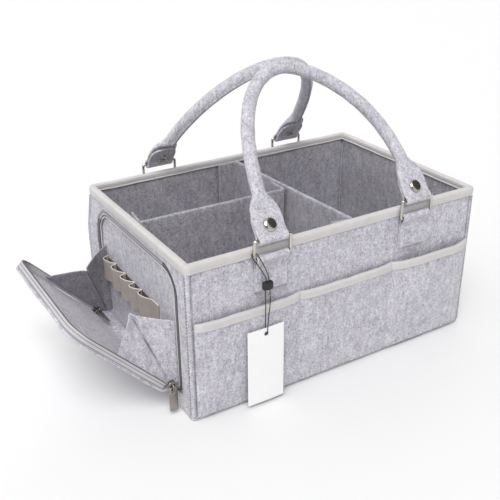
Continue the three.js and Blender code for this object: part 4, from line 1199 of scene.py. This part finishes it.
def addWallZip():
    outer, top, radius, foot = zip_["outer"], zip_["top"], zip_["radius"], zip_["foot"]
    inset = lambda by: (outer - by, top - by, radius - by, foot)

    # Lies flat at one depth, v outwards from the line
    def flatAt(x):
        return lambda base, out, v: np.stack([x + 0 * v, *np.moveaxis(base + out * v[..., None], -1, 0)],
                                             axis=-1)
    tapeIn, trimIn = zip_["tapeWidth"], zip_["tapeWidth"] + zip_["trimWidth"]
    middle = tapeIn / 2 - 0.1
    tape = archRibbon("wallZipTape", *inset(tapeIn), tapeIn, zip_["tapeThick"], flatAt(zip_["tapeX"]))
    trim = archRibbon("wallZipTrim", *inset(trimIn), zip_["trimWidth"], zip_["trimThick"],
                      flatAt(zip_["trimX"]))
    teeth = archTeeth("wallZipTeeth", *inset(middle), flatAt(zip_["coilX"]), np.array([-1.0, 0, 0]), zip_,
                      zip_["coilRise"])
    # Closed end of the chain that leads from the wall to the near slider
    low, high = np.array(zip_["tailLow"]), np.array(zip_["tailHigh"])

    def tail(u, v):
        x, _, z = [a + (b - a) * u / zip_["tailLength"] for a, b in zip(low, high)]
        return np.stack([x, zip_["tailSide"] + v, z], axis=-1)
    uLine = edgeLine(zip_["tailLength"], 1.0, 0.7)
    end = feltSheet("zipTail", tail, uLine, edgeLine(zip_["tailWidth"], 1.0, 0.7), 1.4)
    spine = np.linspace(low, high, 24) + [-0.2, 0, 0.75]
    spineTeeth = teethRow("zipTailTeeth", spine, np.array([0, 1.0, 0]), np.array([-0.25, 0, 0.97]),
                          zip_["pitch"], 3.6, zip_["tooth"], 1.0)
    for piece, material in ((tape, "tape"), (trim, "binding"), (teeth, "coil"), (end, "tape"),
                            (spineTeeth, "coil")):
        piece.data.materials.append(mat[material])
    # Along the top the tape is covered with pale cloth between two dark edges
    isCovered = lambda y, z: (z > top - zip_["coverDrop"]) & (y > zip_["coverTo"])
    for piece in (tape, teeth):
        piece.data.materials.append(mat["flapTape"])
        centres = faceValues(piece, "center") / mm
        piece.data.polygons.foreach_set("material_index",
                                        isCovered(centres[:, 1], centres[:, 2]).astype(np.int32))
    for index, offset in enumerate((middle - zip_["edgeApart"], middle + zip_["edgeApart"])):
        line = resample(flatLine(archLine(*inset(offset), 24)), spacing=1.5)
        line = line[isCovered(line[:, 0], line[:, 1])]
        path = np.column_stack([np.full(len(line), zip_["coilX"] - 0.3), line[:, 0], line[:, 1]])
        row = stitchRow(f"zipEdge{index}", path, np.array([-1.0, 0, 0]), *zip_["edgeStitches"])
        finishPiece(row, "root", mat["shadowThread"], "zip_tape")
    whole = joinPieces("wallZip", [tape, trim, teeth, end, spineTeeth])
    finishPiece(whole, "root", None, "zip_tape", "wall_zip_half")


# Place of a point of the flap, given its distance out from the hinge line's plane, across, and along the flap
def flapWorld(out, across, along):
    a = math.radians(flap["open"])
    x = -halfLength + out * math.cos(a) - along * math.sin(a)
    z = flap["hinge"] + out * math.sin(a) + along * math.cos(a)
    return np.stack([x, across, z], axis=-1)


def flapStand(along):
    return (flap["standoff"] + flap["felt"] / 2) * smoothStep(along / flap["bend"]) - flap["felt"] / 2


def addFlap():
    def place(u, v):
        over = np.clip(v - (flap["length"] - flap["radius"]), 0, flap["radius"])
        half_ = flap["half"] - flap["radius"] + np.sqrt(flap["radius"] ** 2 - over ** 2)
        return flapWorld(-flapStand(v) - flap["felt"] / 2, u / flap["half"] * half_, v)
    uLine = edgeLine(2 * flap["half"], flap["step"], 1.5) - flap["half"]
    vLine = edgeLine(flap["length"], flap["step"], 1.5)
    late = flap["length"] - np.array(flap["lateRows"])
    vLine = np.unique(np.round(np.concatenate([vLine, late]), 3))
    panel = feltSheet("endFlap", place, uLine, vLine, flap["felt"], flap["wave"], 41, waveSize=70.0)
    finishPiece(panel, "end_flap", mat["felt"], "felt", "end_flap")
    # Rim: the zip's tape stands up from the panel's edge, with the coil inside its free edge
    height = flap["rimFree"] - flap["rimOuter"]
    inset = flap["rimThick"] / 2 + 0.15
    standing = lambda base, out, v: flapWorld(flap["rimOuter"] + v, base[..., 0], base[..., 1])
    rim = archRibbon("flapRim", flap["half"] - inset, flap["length"] - inset, flap["radius"] - inset,
                     flap["foot"], height, flap["rimThick"], standing)
    rim.data.materials.append(mat["flapTape"])
    a = math.radians(flap["open"])
    up = np.array([math.cos(a), 0, math.sin(a)])
    coilIn = inset + flap["coilIn"]

    def inwards(base, out, v):
        spot = base - out * v[..., None]
        return flapWorld(flap["coilAt"] + 0 * v, spot[..., 0], spot[..., 1])
    teeth = archTeeth("flapTeeth", flap["half"] - coilIn, flap["length"] - coilIn, flap["radius"] - coilIn,
                      flap["foot"] + 1, inwards, up, flap, 1.1)
    teeth.data.materials.append(mat["coil"])
    whole = joinPieces("flapZip", [rim, teeth])
    finishPiece(whole, "end_flap", None, "zip_tape", "flap_zip_half")
    # Stitches along the panel's edge, inside and outside, and seams between the rim and the panel
    def edge(by, foot):
        arch = archLine(flap["half"] - by, flap["length"] - by, flap["radius"] - by, foot, 20)
        return resample(flatLine(arch), spacing=1.5)
    line = edge(flap["sewn"], flap["foot"] + 2)
    rows = []
    for out, sign in ((-flap["standoff"] + 0.02, 1), (-flap["standoff"] - flap["felt"] - 0.02, -1)):
        rows.append(stitchRow("flapRow", flapWorld(out, line[:, 0], line[:, 1]), up * sign,
                              *flap["stitches"]))
    finishPiece(joinPieces("flapStitches", rows), "end_flap", mat["darkThread"], "felt")
    seam = edge(0.05, flap["foot"] + 1)
    run = np.gradient(seam, axis=0)
    outwards = flapWorld(0 * run[:, 0], -run[:, 1], run[:, 0]) - flapWorld(0.0, 0.0, 0.0)
    rows = [stitchRow("flapRow", flapWorld(out, seam[:, 0], seam[:, 1]), outwards, *flap["seamStitches"])
            for out in flap["rimSeams"]]
    finishPiece(joinPieces("flapRimSeams", rows), "end_flap", mat["shadowThread"], "felt")


addBorder()
addWallZip()
addFlap()
print("zipped end made")


# Zip sliders and pulls, drawn with the pull hanging along -Z and the slider's face towards -Y
slider = dict(length=11.0, width=8.0, thickness=5.0, wire=1.7, span=5.6, plate=1.9, edge=0.6, corner=2.2,
              neck=(1.6, 3.4, 0.8), neckUp=1.2, neckIn=1.5, bailFrom=1.5, bailTo=-3.1, bailCorner=2.0)
pull = dict(bottom=-30.0, top=0.75, width=10.0, thickness=1.5, slot=3.6, slotFoot=-5.6, slotTop=-0.75,
            setOff=1.2, edge=0.55, corner=1.6, slotCorner=0.9)
nearSlider = dict(place=(-200.5, -99.6, 36.0))
farSlider = dict(along=26.0, across=83.0)


# Outline with a waist between two shoulders, seen from the face: its width is less by a bell curve about the
# waist, and tapers evenly from the middle to the foot
def sliderOutline(inset):
    loop = rectLoop(slider["width"] / 2 - inset, slider["length"] / 2 - inset,
                    slider["corner"] - inset * 0.5, 8, 5)
    waist = 1 - 0.13 * np.exp(-((loop[:, 1] + 1.2) / 2.4) ** 2)
    taper = 1 - 0.10 * np.clip(-loop[:, 1] / (slider["length"] / 2), 0, 1)
    return np.column_stack([loop[:, 0] * waist * taper, loop[:, 1]])


def addSlider(name, world, body_, node_):
    deep, plate, neckIn = slider["thickness"], slider["plate"], slider["neckIn"]
    flat = lambda rings: world(np.stack([rings[..., 0], deep - rings[..., 2], rings[..., 1]], axis=-1))
    halfX, halfY, radius = slider["neck"]
    neckOutline = lambda inset: rectLoop(halfX - inset, halfY - inset, radius, 5, 4) + [0, slider["neckUp"]]
    pieces = [pile("top", sliderOutline, slabProfile(deep - plate, deep, slider["edge"]), flat),
              pile("bottom", sliderOutline, slabProfile(0.0, plate, slider["edge"]), flat),
              pile("neck", neckOutline, slabProfile(neckIn, deep - neckIn, 0.2), flat)]
    # Wire bail over the slider's face, which the pull hangs on
    half, start, reach = slider["span"] / 2, slider["bailFrom"], slider["bailTo"]
    corners = [(0, start, half), (0, reach, half), (0, reach, -half), (0, start, -half)]
    radii = [0, slider["bailCorner"], slider["bailCorner"], 0]
    path = resample(roundedPolygon(corners, radii, 6, closed=False), spacing=0.5)
    _, side_, normal = pathFrames(path, up=(1.0, 0, 0))
    pieces.append(sweep("bail", world(carry(path, circle(12, slider["wire"] / 2), side_, normal))))
    finishPiece(joinPieces(name, pieces), body_, mat["zipMetal"], "zip_metal", node_)


def addPull(name, world, body_, node_):
    middle, halfLong = (pull["top"] + pull["bottom"]) / 2, (pull["top"] - pull["bottom"]) / 2
    slotMiddle, slotHalf = (pull["slotTop"] + pull["slotFoot"]) / 2, (pull["slotTop"] - pull["slotFoot"]) / 2
    perimeter = rectLoop(pull["width"] / 2, halfLong, pull["corner"], 20, 6) + [0, middle - slotMiddle]
    slot = rectLoop(pull["slot"] / 2, slotHalf, pull["slotCorner"], 12, 5)
    angles = np.sort(np.arctan2(perimeter[:, 1], perimeter[:, 0]))
    place = lambda across, up, depth: world(np.stack([across, -pull["setOff"] - depth, up + slotMiddle],
                                                     axis=-1))
    piece = washer(name, angles, rayReach(perimeter, angles), rayReach(slot, angles), pull["thickness"],
                   place, rows=5, rim=pull["edge"])
    finishPiece(piece, body_, mat["zipMetal"], "zip_metal", node_)


def nearWorld(points):
    x, y, z = nearSlider["place"]
    return points + [x, y - slider["thickness"] / 2, z]


# The far slider sits in the flap's rim and faces the wall, with its pull across the flap
def farWorld(points):
    out = slider["thickness"] + body["gap"] - flap["standoff"] - points[..., 1]
    return flapWorld(out, farSlider["across"] + points[..., 2], farSlider["along"] - points[..., 0])


addSlider("nearZipSlider", nearWorld, "root", "near_zip_slider")
addPull("nearZipPull", nearWorld, "near_pull", "near_zip_pull")
addSlider("farZipSlider", farWorld, "end_flap", "far_zip_slider")
addPull("farZipPull", farWorld, "far_pull", "far_zip_pull")
print("sliders made")


# Gussets: thin felt between the panel and the flap, folded inwards. Each row of three points is flap edge,
# fold and wall edge, first at the foot and then at the top
gusset = dict(felt=1.2, wall=-187.9, half=90.8, foot=30.0, edgeOut=4.8, flapFoot=18.3, foldX=-224.6,
              foldSoft=0.05, swell=1.4, crease=4.2, creaseWidth=0.022, wave=0.5, waveSize=26.0, pitch=2.0,
              stitch=1.95, thread=1.4, flapBow=-0.6, rise=0.2, pinch=(0.3, -0.9, 0.0),
              creaseShadeOff=(0, -0.55, 0), creaseShadeShares=(0.04, 0.97), blendFrom=(-0.202, 0.0, 0.1375),
              blendTo=(-0.2625, 0.0, 0.1125))


def addGusset(name, sign, node_, reach, foldY, foldTop, wallEdgeTop, bow, out):
    flapFoot = flapWorld(-gusset["edgeOut"], gusset["half"], gusset["flapFoot"])
    flapTop = flapWorld(-gusset["edgeOut"], gusset["half"], reach)
    wallFoot = np.array([gusset["wall"], gusset["half"], gusset["foot"]])
    wallEdge = np.array([gusset["wall"], gusset["half"], wallEdgeTop])
    foldFoot = np.array([(gusset["wall"] + flapFoot[0]) / 2, gusset["half"] - gusset["felt"], gusset["foot"]])
    low = [flapFoot, foldFoot, wallFoot]
    high = [flapTop, np.array([gusset["foldX"], foldY, foldTop]), wallEdge]

    # Two flat panels that meet at the fold, each swollen as a sine across and up
    def place(u, v):
        share, t = v[..., None], u[..., None]
        p = [a * (1 - share) + b * share for a, b in zip(low, high)]
        # The fold is rounded over a twentieth of the width on each side of it
        soft = gusset["foldSoft"]
        past = np.clip((t - (0.5 - soft)) / (2 * soft), 0, 1)
        mixed = (p[0] + (p[1] - p[0]) * t * 2) * (1 - past) + (p[1] + (p[2] - p[1]) * (t * 2 - 1)) * past
        onFlap = t < 0.5
        panelShare = np.where(onFlap, t * 2, t * 2 - 1)
        swell = gusset["swell"] * np.sin(np.pi * panelShare) * np.sin(np.pi * np.clip(share * 0.9, 0, 1))
        push = [np.where(onFlap, 0, -out), np.where(onFlap, gusset["flapBow"], bow), gusset["rise"]]
        point = mixed + np.concatenate([swell * part for part in push], axis=-1)
        # Pinched crease along the fold: a bell curve of the distance from the fold, fading out at the foot
        bell = np.exp(-((t - 0.5) / gusset["creaseWidth"]) ** 2)
        pinch = gusset["crease"] * bell * np.clip(share * 4, 0, 1)
        return (point + pinch * gusset["pinch"]) * [1, sign, 1]
    panels = [np.linspace(0, 0.44, 16), np.linspace(0.44, 0.56, 13), np.linspace(0.56, 1, 16),
              [0.004, 0.012, 0.988, 0.996]]
    uLine = np.unique(np.concatenate(panels))
    vLine = np.unique(np.concatenate([np.linspace(0, 1, 30), [0.002, 0.006, 0.994, 0.998]]))
    sheet = feltSheet(name, place, uLine, vLine, gusset["felt"], gusset["wave"], 51, rim=0.008,
                      waveSize=gusset["waveSize"])
    sheet.data.materials.append(mat["felt"])
    # Faces that look into the box take the darkest felt copy: painted shade inside the fold
    faceOtherWay(sheet, (0, -2.0 * sign, 0), mat["deep"])
    # A near-black row of thread down the fold paints the crease's shadow; there is no seam there
    line = place(np.full((1, 60), 0.5), np.linspace(*gusset["creaseShadeShares"], 60)[None])[0] + gusset["creaseShadeOff"]
    seam = stitchRow(name + "Seam", line, np.array([0, -1.0, 0]), gusset["pitch"], gusset["stitch"],
                     gusset["thread"])
    seam.data.materials.append(mat["shadowThread"])
    for piece in (sheet, seam):
        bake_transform(piece)
    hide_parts(node_)


addGusset("nearGusset", -1, "near_gusset", reach=88.0, foldY=60.8, foldTop=110.0, wallEdgeTop=106.0,
          bow=0.8, out=0.0)
addGusset("farGusset", 1, "far_gusset", reach=106.0, foldY=70.8, foldTop=104.0, wallEdgeTop=119.0, bow=3.0,
          out=3.0)


# Pen loops: one elastic strap sewn down between its loops. Each loop stands straight off its first seam and
# slopes back to its second
loops = dict(bottom=79.0, height=27.0, strap=1.2, start=87.5, widths=(25.3, 28.4, 25.5, 19.7, 25.9),
             bulges=(7.6, 8.4, 8.9, 8.6, 7.2), tail=15.5, base=-188.4, edge=1.3, spacing=1.0, slack=0.35,
             shadeSheet=0.2, shadeSheetBehind=0.75, shadeSheetIn=1.0, shadeSheetUnder=3.0, stitches=(2.2, 1.8, 0.6),
             shares=(0, 0.02, 0.05, 0.09, 0.13, 0.19, 0.26, 0.35, 0.45, 0.55, 0.66, 0.76, 0.85, 0.93),
             swells=(0, 0.36, 0.68, 0.88, 0.98, 1.02, 1.04, 1.02, 0.96, 0.86, 0.70, 0.50, 0.30, 0.11))


def addLoops():
    y = loops["start"]
    line, seams = [], [y]
    for width, bulge in zip(loops["widths"], loops["bulges"]):
        x = loops["base"] - bulge * np.array(loops["swells"])
        line.append(np.column_stack([x, y - width * np.array(loops["shares"])]))
        y -= width
        seams.append(y)
    line.append(np.array([[loops["base"], y], [loops["base"], y - loops["tail"]]]))
    path = resample(flatLine(np.concatenate(line)), spacing=loops["spacing"])
    along = distances(path)
    height, strapRim = loops["height"], loops["strap"] / 2

    def place(u, v):
        slack = loops["slack"] * np.sin(np.pi * v / height) ** 2
        x, y_ = np.interp(u, along, path[:, 0]), np.interp(u, along, path[:, 1])
        return np.stack([x + slack, y_, loops["bottom"] + v], axis=-1)
    uLine, vLine = edgeLine(along[-1], 0.9, strapRim), edgeLine(height, 1.5, strapRim)
    strap = feltSheet("penLoopStrap", place, uLine, vLine, loops["strap"])
    # Its woven edges are lighter, and the side that looks into the loops is painted near-black as shade
    for material in ("elastic", "elasticEdge", "shadedElasticInside"):
        strap.data.materials.append(mat[material])
    z = faceValues(strap, "center")[:, 2] / mm - loops["bottom"]
    onEdge = (z < loops["edge"]) | (z > height - loops["edge"])
    within = (faceValues(strap, "normal")[:, 0] > 0.3) & ~onEdge
    strap.data.polygons.foreach_set("material_index", np.where(within, 2, onEdge).astype(np.int32))
    # Near-black sheet between the strap and the wall: painted shade inside the loops
    back, thin = loops["base"] + loops["shadeSheetBehind"], loops["shadeSheet"]
    far = loops["start"] - loops["shadeSheetIn"]
    behind = lambda u, v: np.stack([back + 0 * u, far - u, loops["bottom"] + v], axis=-1)
    uLine, vLine = [edgeLine(size, 3.0, thin) for size in (far - y, height - loops["shadeSheetUnder"])]
    shadeSheet = feltSheet("penLoopShadeSheet", behind, uLine, vLine, thin, rim=thin / 2)
    finishPiece(shadeSheet, "root", mat["shadedElasticInside"], "elastic")
    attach(strap, "root")
    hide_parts("pen_loop_strip")
    x = loops["base"] - strapRim - 0.1
    z = np.linspace(loops["bottom"] + 1, loops["bottom"] + height - 1, 40)
    rows = []
    for place_ in [seam - 0.5 for seam in seams] + [y - loops["tail"] + 2]:
        rows.append(stitchRow("loopRow", upLine(x, place_, z), np.array([-1.0, 0, 0]), *loops["stitches"]))
    finishPiece(joinPieces("penLoopStitches", rows), "root", mat["thread"], "elastic")


addLoops()
print("gussets and pen loops made")


# Dividers: a felt board whose ends are folded over, with hook tape behind the folds
divider = dict(bottom=4.8, top=179.0, felt=4.5, flangeFelt=3.0, corner=3.4, step=3.0, wave=0.25,
               stitches=(3.4, 2.6, 0.65))
crossDivider = dict(x=13.05, skew=5.0, face=116.0, flange=27.25, thinTo=26.0, lift=(2.5, 0.0), bow=(4.5, 1.5),
                    hookX=-1.7, hookOut=118.2, rowsX=(-11.2, 6.0), rowOut=114.4)
longDivider = dict(y=1.05, left=-181.0, right=6.66, flangeTo=29.3, thinTo=27.0, lift=(2.5, 0.0),
                   bow=(4.5, 0.0), hookY=16.3, hooksX=(-183.2, 8.86), rowsX=(-179.4, 5.06),
                   rowsY=(26.4, 7.5))
hooks = dict(low=26.8, high=157.0, width=18.0, tape=0.6, rise=0.25, pitch=1.3, step=0.45, rim=0.3)


# Sheet along a folded line seen from above; the folds are thinner than the board between them
def foldedBoard(name, corners, look, node_, seed):
    flat = roundedPolygon(corners, [0, divider["corner"], divider["corner"], 0], 8, closed=False)
    path = resample(flatLine(flat), spacing=0.8)
    along = distances(path)
    length, thinTo, tall = along[-1], look["thinTo"], divider["top"] - divider["bottom"]
    span = unit(np.subtract(corners[2], corners[1]))
    near, far = look["bow"]

    # Towards the top the ends rise a little, and the folded ends stand off the walls, as the height squared
    def place(u, v):
        share = (v / tall) ** 2
        rise = np.interp(u, [0, length], look["lift"]) * share
        off = np.interp(u, [0, thinTo, length - thinTo, length], [near, 0.3 * near, -0.3 * far, -far]) * share
        x, y = [np.interp(u, along, path[:, k]) + span[k] * off for k in (0, 1)]
        return np.stack([x, y, v + divider["bottom"] + rise], axis=-1)

    def grow(u, v):
        thin = divider["flangeFelt"] / divider["felt"]
        return thin + (1 - thin) * np.clip((np.minimum(u, length - u) - thinTo) / 4, 0, 1)
    ends = edgeLine(thinTo + 6, 1.2, 1.5)[:-6]
    middle = np.linspace(thinTo + 6, length - thinTo - 6, int((length - 2 * thinTo) / divider["step"]))
    uLine = np.unique(np.round(np.concatenate([ends, middle, length - ends]), 4))
    vLine = edgeLine(tall, divider["step"], divider["felt"] / 2)
    board = feltSheet(name, place, uLine, vLine, divider["felt"], divider["wave"], seed, grow=grow)
    # The boards take the darker felt copy: painted shade of the box's inside
    finishPiece(board, node_, mat["inner"], "felt", node_)


# Hook tape: a thin strip whose face carries small blunt hooks, as sin across times sin along, kept positive
def hookStrip(name, axis, at, middle, body_, node_):
    toward = np.sign(at)

    def place(u, v):
        waves = np.sin(u * 2 * np.pi / hooks["pitch"]) * np.sin(v * 2 * np.pi / hooks["pitch"])
        depth = at + toward * (np.clip(waves, 0, 1) * hooks["rise"] * 0.5 - 0.05)
        spread = middle + u - hooks["width"] / 2
        pair = (spread, depth) if axis == "Y" else (depth, spread)
        return np.stack([*pair, hooks["low"] + v], axis=-1)
    uLine, vLine = [edgeLine(size, hooks["step"], hooks["rim"])
                    for size in (hooks["width"], hooks["high"] - hooks["low"])]
    strip = feltSheet(name, place, uLine, vLine, hooks["tape"], rim=hooks["rim"])
    finishPiece(strip, body_, mat["hook"], "hook", node_)


# Stitches down each folded end: each row has its place and the way that it faces
def flangeStitches(name, places, body_):
    z = np.linspace(divider["bottom"] + 4, divider["top"] - 3, 90)
    rows = [stitchRow("flangeRow", upLine(x, y, z), np.array(normal, float), *divider["stitches"])
            for x, y, normal in places]
    finishPiece(joinPieces(name, rows), body_, mat["darkThread"], "felt")


def addDividers():
    cross, long = crossDivider, longDivider
    skew, face, flange = cross["skew"], cross["face"], cross["flange"]
    front, back = cross["x"] + skew, cross["x"] - skew
    left, right, y, flangeTo = long["left"], long["right"], long["y"], long["flangeTo"]
    crossCorners = [(front - flange, -face), (front, -face), (back, face), (back - flange, face)]
    longCorners = [(left, flangeTo), (left, y), (right, y), (right, flangeTo)]
    foldedBoard("crossDivider", crossCorners, cross, "cross_divider", 61)
    foldedBoard("longDivider", longCorners, long, "long_divider", 62)
    for name, axis, at, middle, body_, end in (
            ("crossHookBack", "Y", cross["hookOut"], cross["hookX"] - skew, "cross_divider", "back"),
            ("crossHookFront", "Y", -cross["hookOut"], cross["hookX"] + skew, "cross_divider", "front"),
            ("longHookLeft", "X", long["hooksX"][0], long["hookY"], "long_divider", "left"),
            ("longHookRight", "X", long["hooksX"][1], long["hookY"], "long_divider", "right")):
        hookStrip(name, axis, at, middle, body_, f"{body_}_hook_{end}")
    crossRows = [(x - side * skew, side * cross["rowOut"], (0, -side, 0))
                 for x in cross["rowsX"] for side in (-1, 1)]
    longRows = [(x, y, (sign, 0, 0)) for y in long["rowsY"] for x, sign in zip(long["rowsX"], (1, -1))]
    flangeStitches("crossFlangeStitches", crossRows, "cross_divider")
    flangeStitches("longFlangeStitches", longRows, "long_divider")


addDividers()
print("dividers made")


# Hang tag: a bare card with a hole, and a seal that holds two thin cord loops
tag = dict(left=-129.5, bottom=4.0, width=44.5, height=92.0, thickness=0.8, hole=2.5, holeX=-107.0,
           holeZ=89.0, y=-137.7, curl=0.35, rim=0.25)
seal = dict(place=(-104.5, -136.5, 144.5), block=(5.5, 4.5, 1.5), deep=2.5, edge=1.0, lid=(3.9, 2.5, 0.9),
            lidTop=2.75, ridge=(2.2, 0.45, 0.3), ridgeTop=2.9, ridgeAt=3.658, inside=2.2)


def addCard():
    right, top = tag["left"] + tag["width"], tag["bottom"] + tag["height"]
    corners = np.array([[tag["left"], tag["bottom"]], [right, tag["bottom"]], [right, top],
                        [tag["left"], top]])
    corners = corners - [tag["holeX"], tag["holeZ"]]
    cornerAngles = np.arctan2(corners[:, 1], corners[:, 0])
    angles = np.sort(np.concatenate([np.linspace(-np.pi, np.pi, 140, endpoint=False), cornerAngles]))

    # The card curls forward as the square of the distance from its middle line
    def place(across, up, depth):
        x = across + tag["holeX"]
        curl = tag["curl"] * ((x - tag["left"]) / (tag["width"] / 2) - 1) ** 2 - 0.2
        return np.stack([x, tag["y"] - depth + curl, up + tag["holeZ"]], axis=-1)
    hole = np.full(len(angles), tag["hole"])
    piece = washer("hangTag", angles, rayReach(corners, angles), hole, tag["thickness"], place, rows=24,
                   rim=tag["rim"])
    finishPiece(piece, "tag", mat["card"], "card", "hang_tag")


def addSeal():
    x, y, z = seal["place"]
    place = lambda rings: np.stack([x + rings[..., 0], y - rings[..., 2], z + rings[..., 1]], axis=-1)

    def slab(name, size, corners, bottom, top, edge, up=0.0):
        outline = lambda inset: rectLoop(size[0] - inset, size[1] - inset, size[2], *corners) + [0, up]
        return pile(name, outline, slabProfile(bottom, top, edge), place)
    pieces = [slab("sealBlock", seal["block"], (8, 5), -seal["deep"], seal["deep"], seal["edge"]),
              slab("sealLid", seal["lid"], (8, 5), seal["inside"], seal["lidTop"], 0.25)]
    for up in (-seal["ridgeAt"], seal["ridgeAt"]):
        pieces.append(slab("sealRidge", seal["ridge"], (6, 3), seal["inside"], seal["ridgeTop"], 0.2, up))
    return finishPiece(joinPieces("tagSeal", pieces), "tag", mat["plastic"], "black_plastic", "tag_seal")


addCard()
sealPiece = addSeal()
print("tag made")


# Cord loops of the hang tag, along the same routes as their solids
upperRoute = np.array([
    [-103, -136.5, 149.3], [-104, -136.7, 155], [-105.6, -136.8, 160], [-107.8, -136.7, 165.5],
    [-110.2, -136.4, 170.5], [-112.2, -135.6, 175], [-113.4, -133.8, 178.2], [-113.7, -131.4, 179.6],
    [-114.6, -129, 180], [-116.5, -127.9, 179.8], [-118.4, -128.8, 179], [-119.4, -131, 177.8],
    [-118.9, -133.2, 176], [-117.2, -134.8, 172.8], [-114.8, -135.8, 168.6], [-112, -136.5, 163.6],
    [-109, -136.8, 158], [-107, -136.7, 154], [-106, -136.5, 149.3]])
lowerRoute = np.array([
    [-107, -136.5, 139.7], [-107.5, -137, 133.5], [-107.8, -137.8, 127.5], [-107.9, -138, 121],
    [-107.9, -138, 114], [-107.7, -137.6, 107.5], [-107.4, -136.7, 101.5], [-107.1, -136.3, 96.5],
    [-107, -136.3, 91.8], [-107, -137, 89.6], [-107, -138.3, 88.8], [-107, -139.6, 89.6],
    [-106.9, -140.3, 91.8], [-106.5, -139.9, 97], [-105.4, -139, 103.5], [-104.2, -138.4, 111],
    [-103, -138.1, 119], [-102.2, -137.8, 127], [-102, -137, 133.5], [-102, -136.5, 139.7]])
cordLook = dict(diameter=1.0, around=12, spacing=0.6, twist=3.2, strands=0.07)


# Round cord whose skin carries three twisted strands: the radius varies as the cosine of three times the
# angle less the turn along the cord
def addCord(name, route, node_):
    path = resample(smoothLine(route, 600), spacing=cordLook["spacing"])
    _, side_, normal = pathFrames(path, up=(0.35, 0.9, 0.2))
    along = distances(path)
    ring = circle(cordLook["around"])
    angle = np.arctan2(ring[:, 1], ring[:, 0])
    strand = np.cos(3 * angle[None] - along[:, None] * 2 * np.pi / cordLook["twist"])
    radius = cordLook["diameter"] / 2 * (1 + cordLook["strands"] * (strand - 1))
    piece = sweep(name, carry(path, ring * radius[..., None], side_, normal))
    finishPiece(piece, "tag", mat["cord"], "black_cord", node_)
    print(f"{name}: {along[-1] * mm:.4f} m")


addCord("tagCordUpper", upperRoute, "tag_cord_upper")
addCord("tagCordLower", lowerRoute, "tag_cord_lower")
print("cords made")


# Light and floor
light = dict(sky=0.93, key=2.2, toward=(-0.33, -0.47, 0.82), angle=34)
# Dark screens in the sky: direction, edges as cosines, and shade
screens = (((0.75, -0.35, 0.6), (0.72, 0.84), 0.12), ((-0.5, -0.75, 0.45), (0.87, 0.93), 0.3))


def addStage():
    world = bpy.data.worlds.new("softSky")
    world.use_nodes = True
    world.node_tree.nodes["Background"].inputs["Color"].default_value = (1, 1, 1, 1)
    world.node_tree.nodes["Background"].inputs["Strength"].default_value = light["sky"]
    # The screens give polished metal something to mirror
    nodes, links = world.node_tree.nodes, world.node_tree.links
    direction = nodes.new("ShaderNodeTexCoord").outputs["Generated"]
    color = None
    for toward, edges, shade in screens:
        facing = nodes.new("ShaderNodeVectorMath")
        facing.operation = "DOT_PRODUCT"
        facing.inputs[1].default_value = Vector(toward).normalized()
        links.new(direction, facing.inputs[0])
        screen = nodes.new("ShaderNodeValToRGB")
        screen.color_ramp.elements[0].position = edges[0]
        screen.color_ramp.elements[0].color = (1, 1, 1, 1)
        screen.color_ramp.elements[1].position = edges[1]
        screen.color_ramp.elements[1].color = (shade,) * 3 + (1,)
        links.new(facing.outputs["Value"], screen.inputs["Fac"])
        if color is None:
            color = screen.outputs["Color"]
        else:
            both = nodes.new("ShaderNodeVectorMath")
            both.operation = "MULTIPLY"
            links.new(color, both.inputs[0])
            links.new(screen.outputs["Color"], both.inputs[1])
            color = both.outputs["Vector"]
    links.new(color, nodes["Background"].inputs["Color"])
    bpy.context.scene.world = world
    size = 4.0
    corners = np.array([[-size, -size, 0], [size, -size, 0], [size, size, 0], [-size, size, 0]]) / mm
    ground = makeMesh("ground", corners, np.array([[0, 1, 2, 3]]), smooth=False)
    ground.data.materials.append(newMaterial("paleFloor", (0.8, 0.8, 0.8), 0.7)[0])
    lamp = bpy.data.lights.new("softKey", "SUN")
    lamp.energy = light["key"]
    lamp.angle = math.radians(light["angle"])
    holder = bpy.data.objects.new("softKey", lamp)
    holder.rotation_euler = Vector(light["toward"]).to_track_quat("Z", "Y").to_euler()
    bpy.context.scene.collection.objects.link(holder)


addStage()
bpy.context.scene.view_settings.view_transform = "Standard"
print("light and floor made")
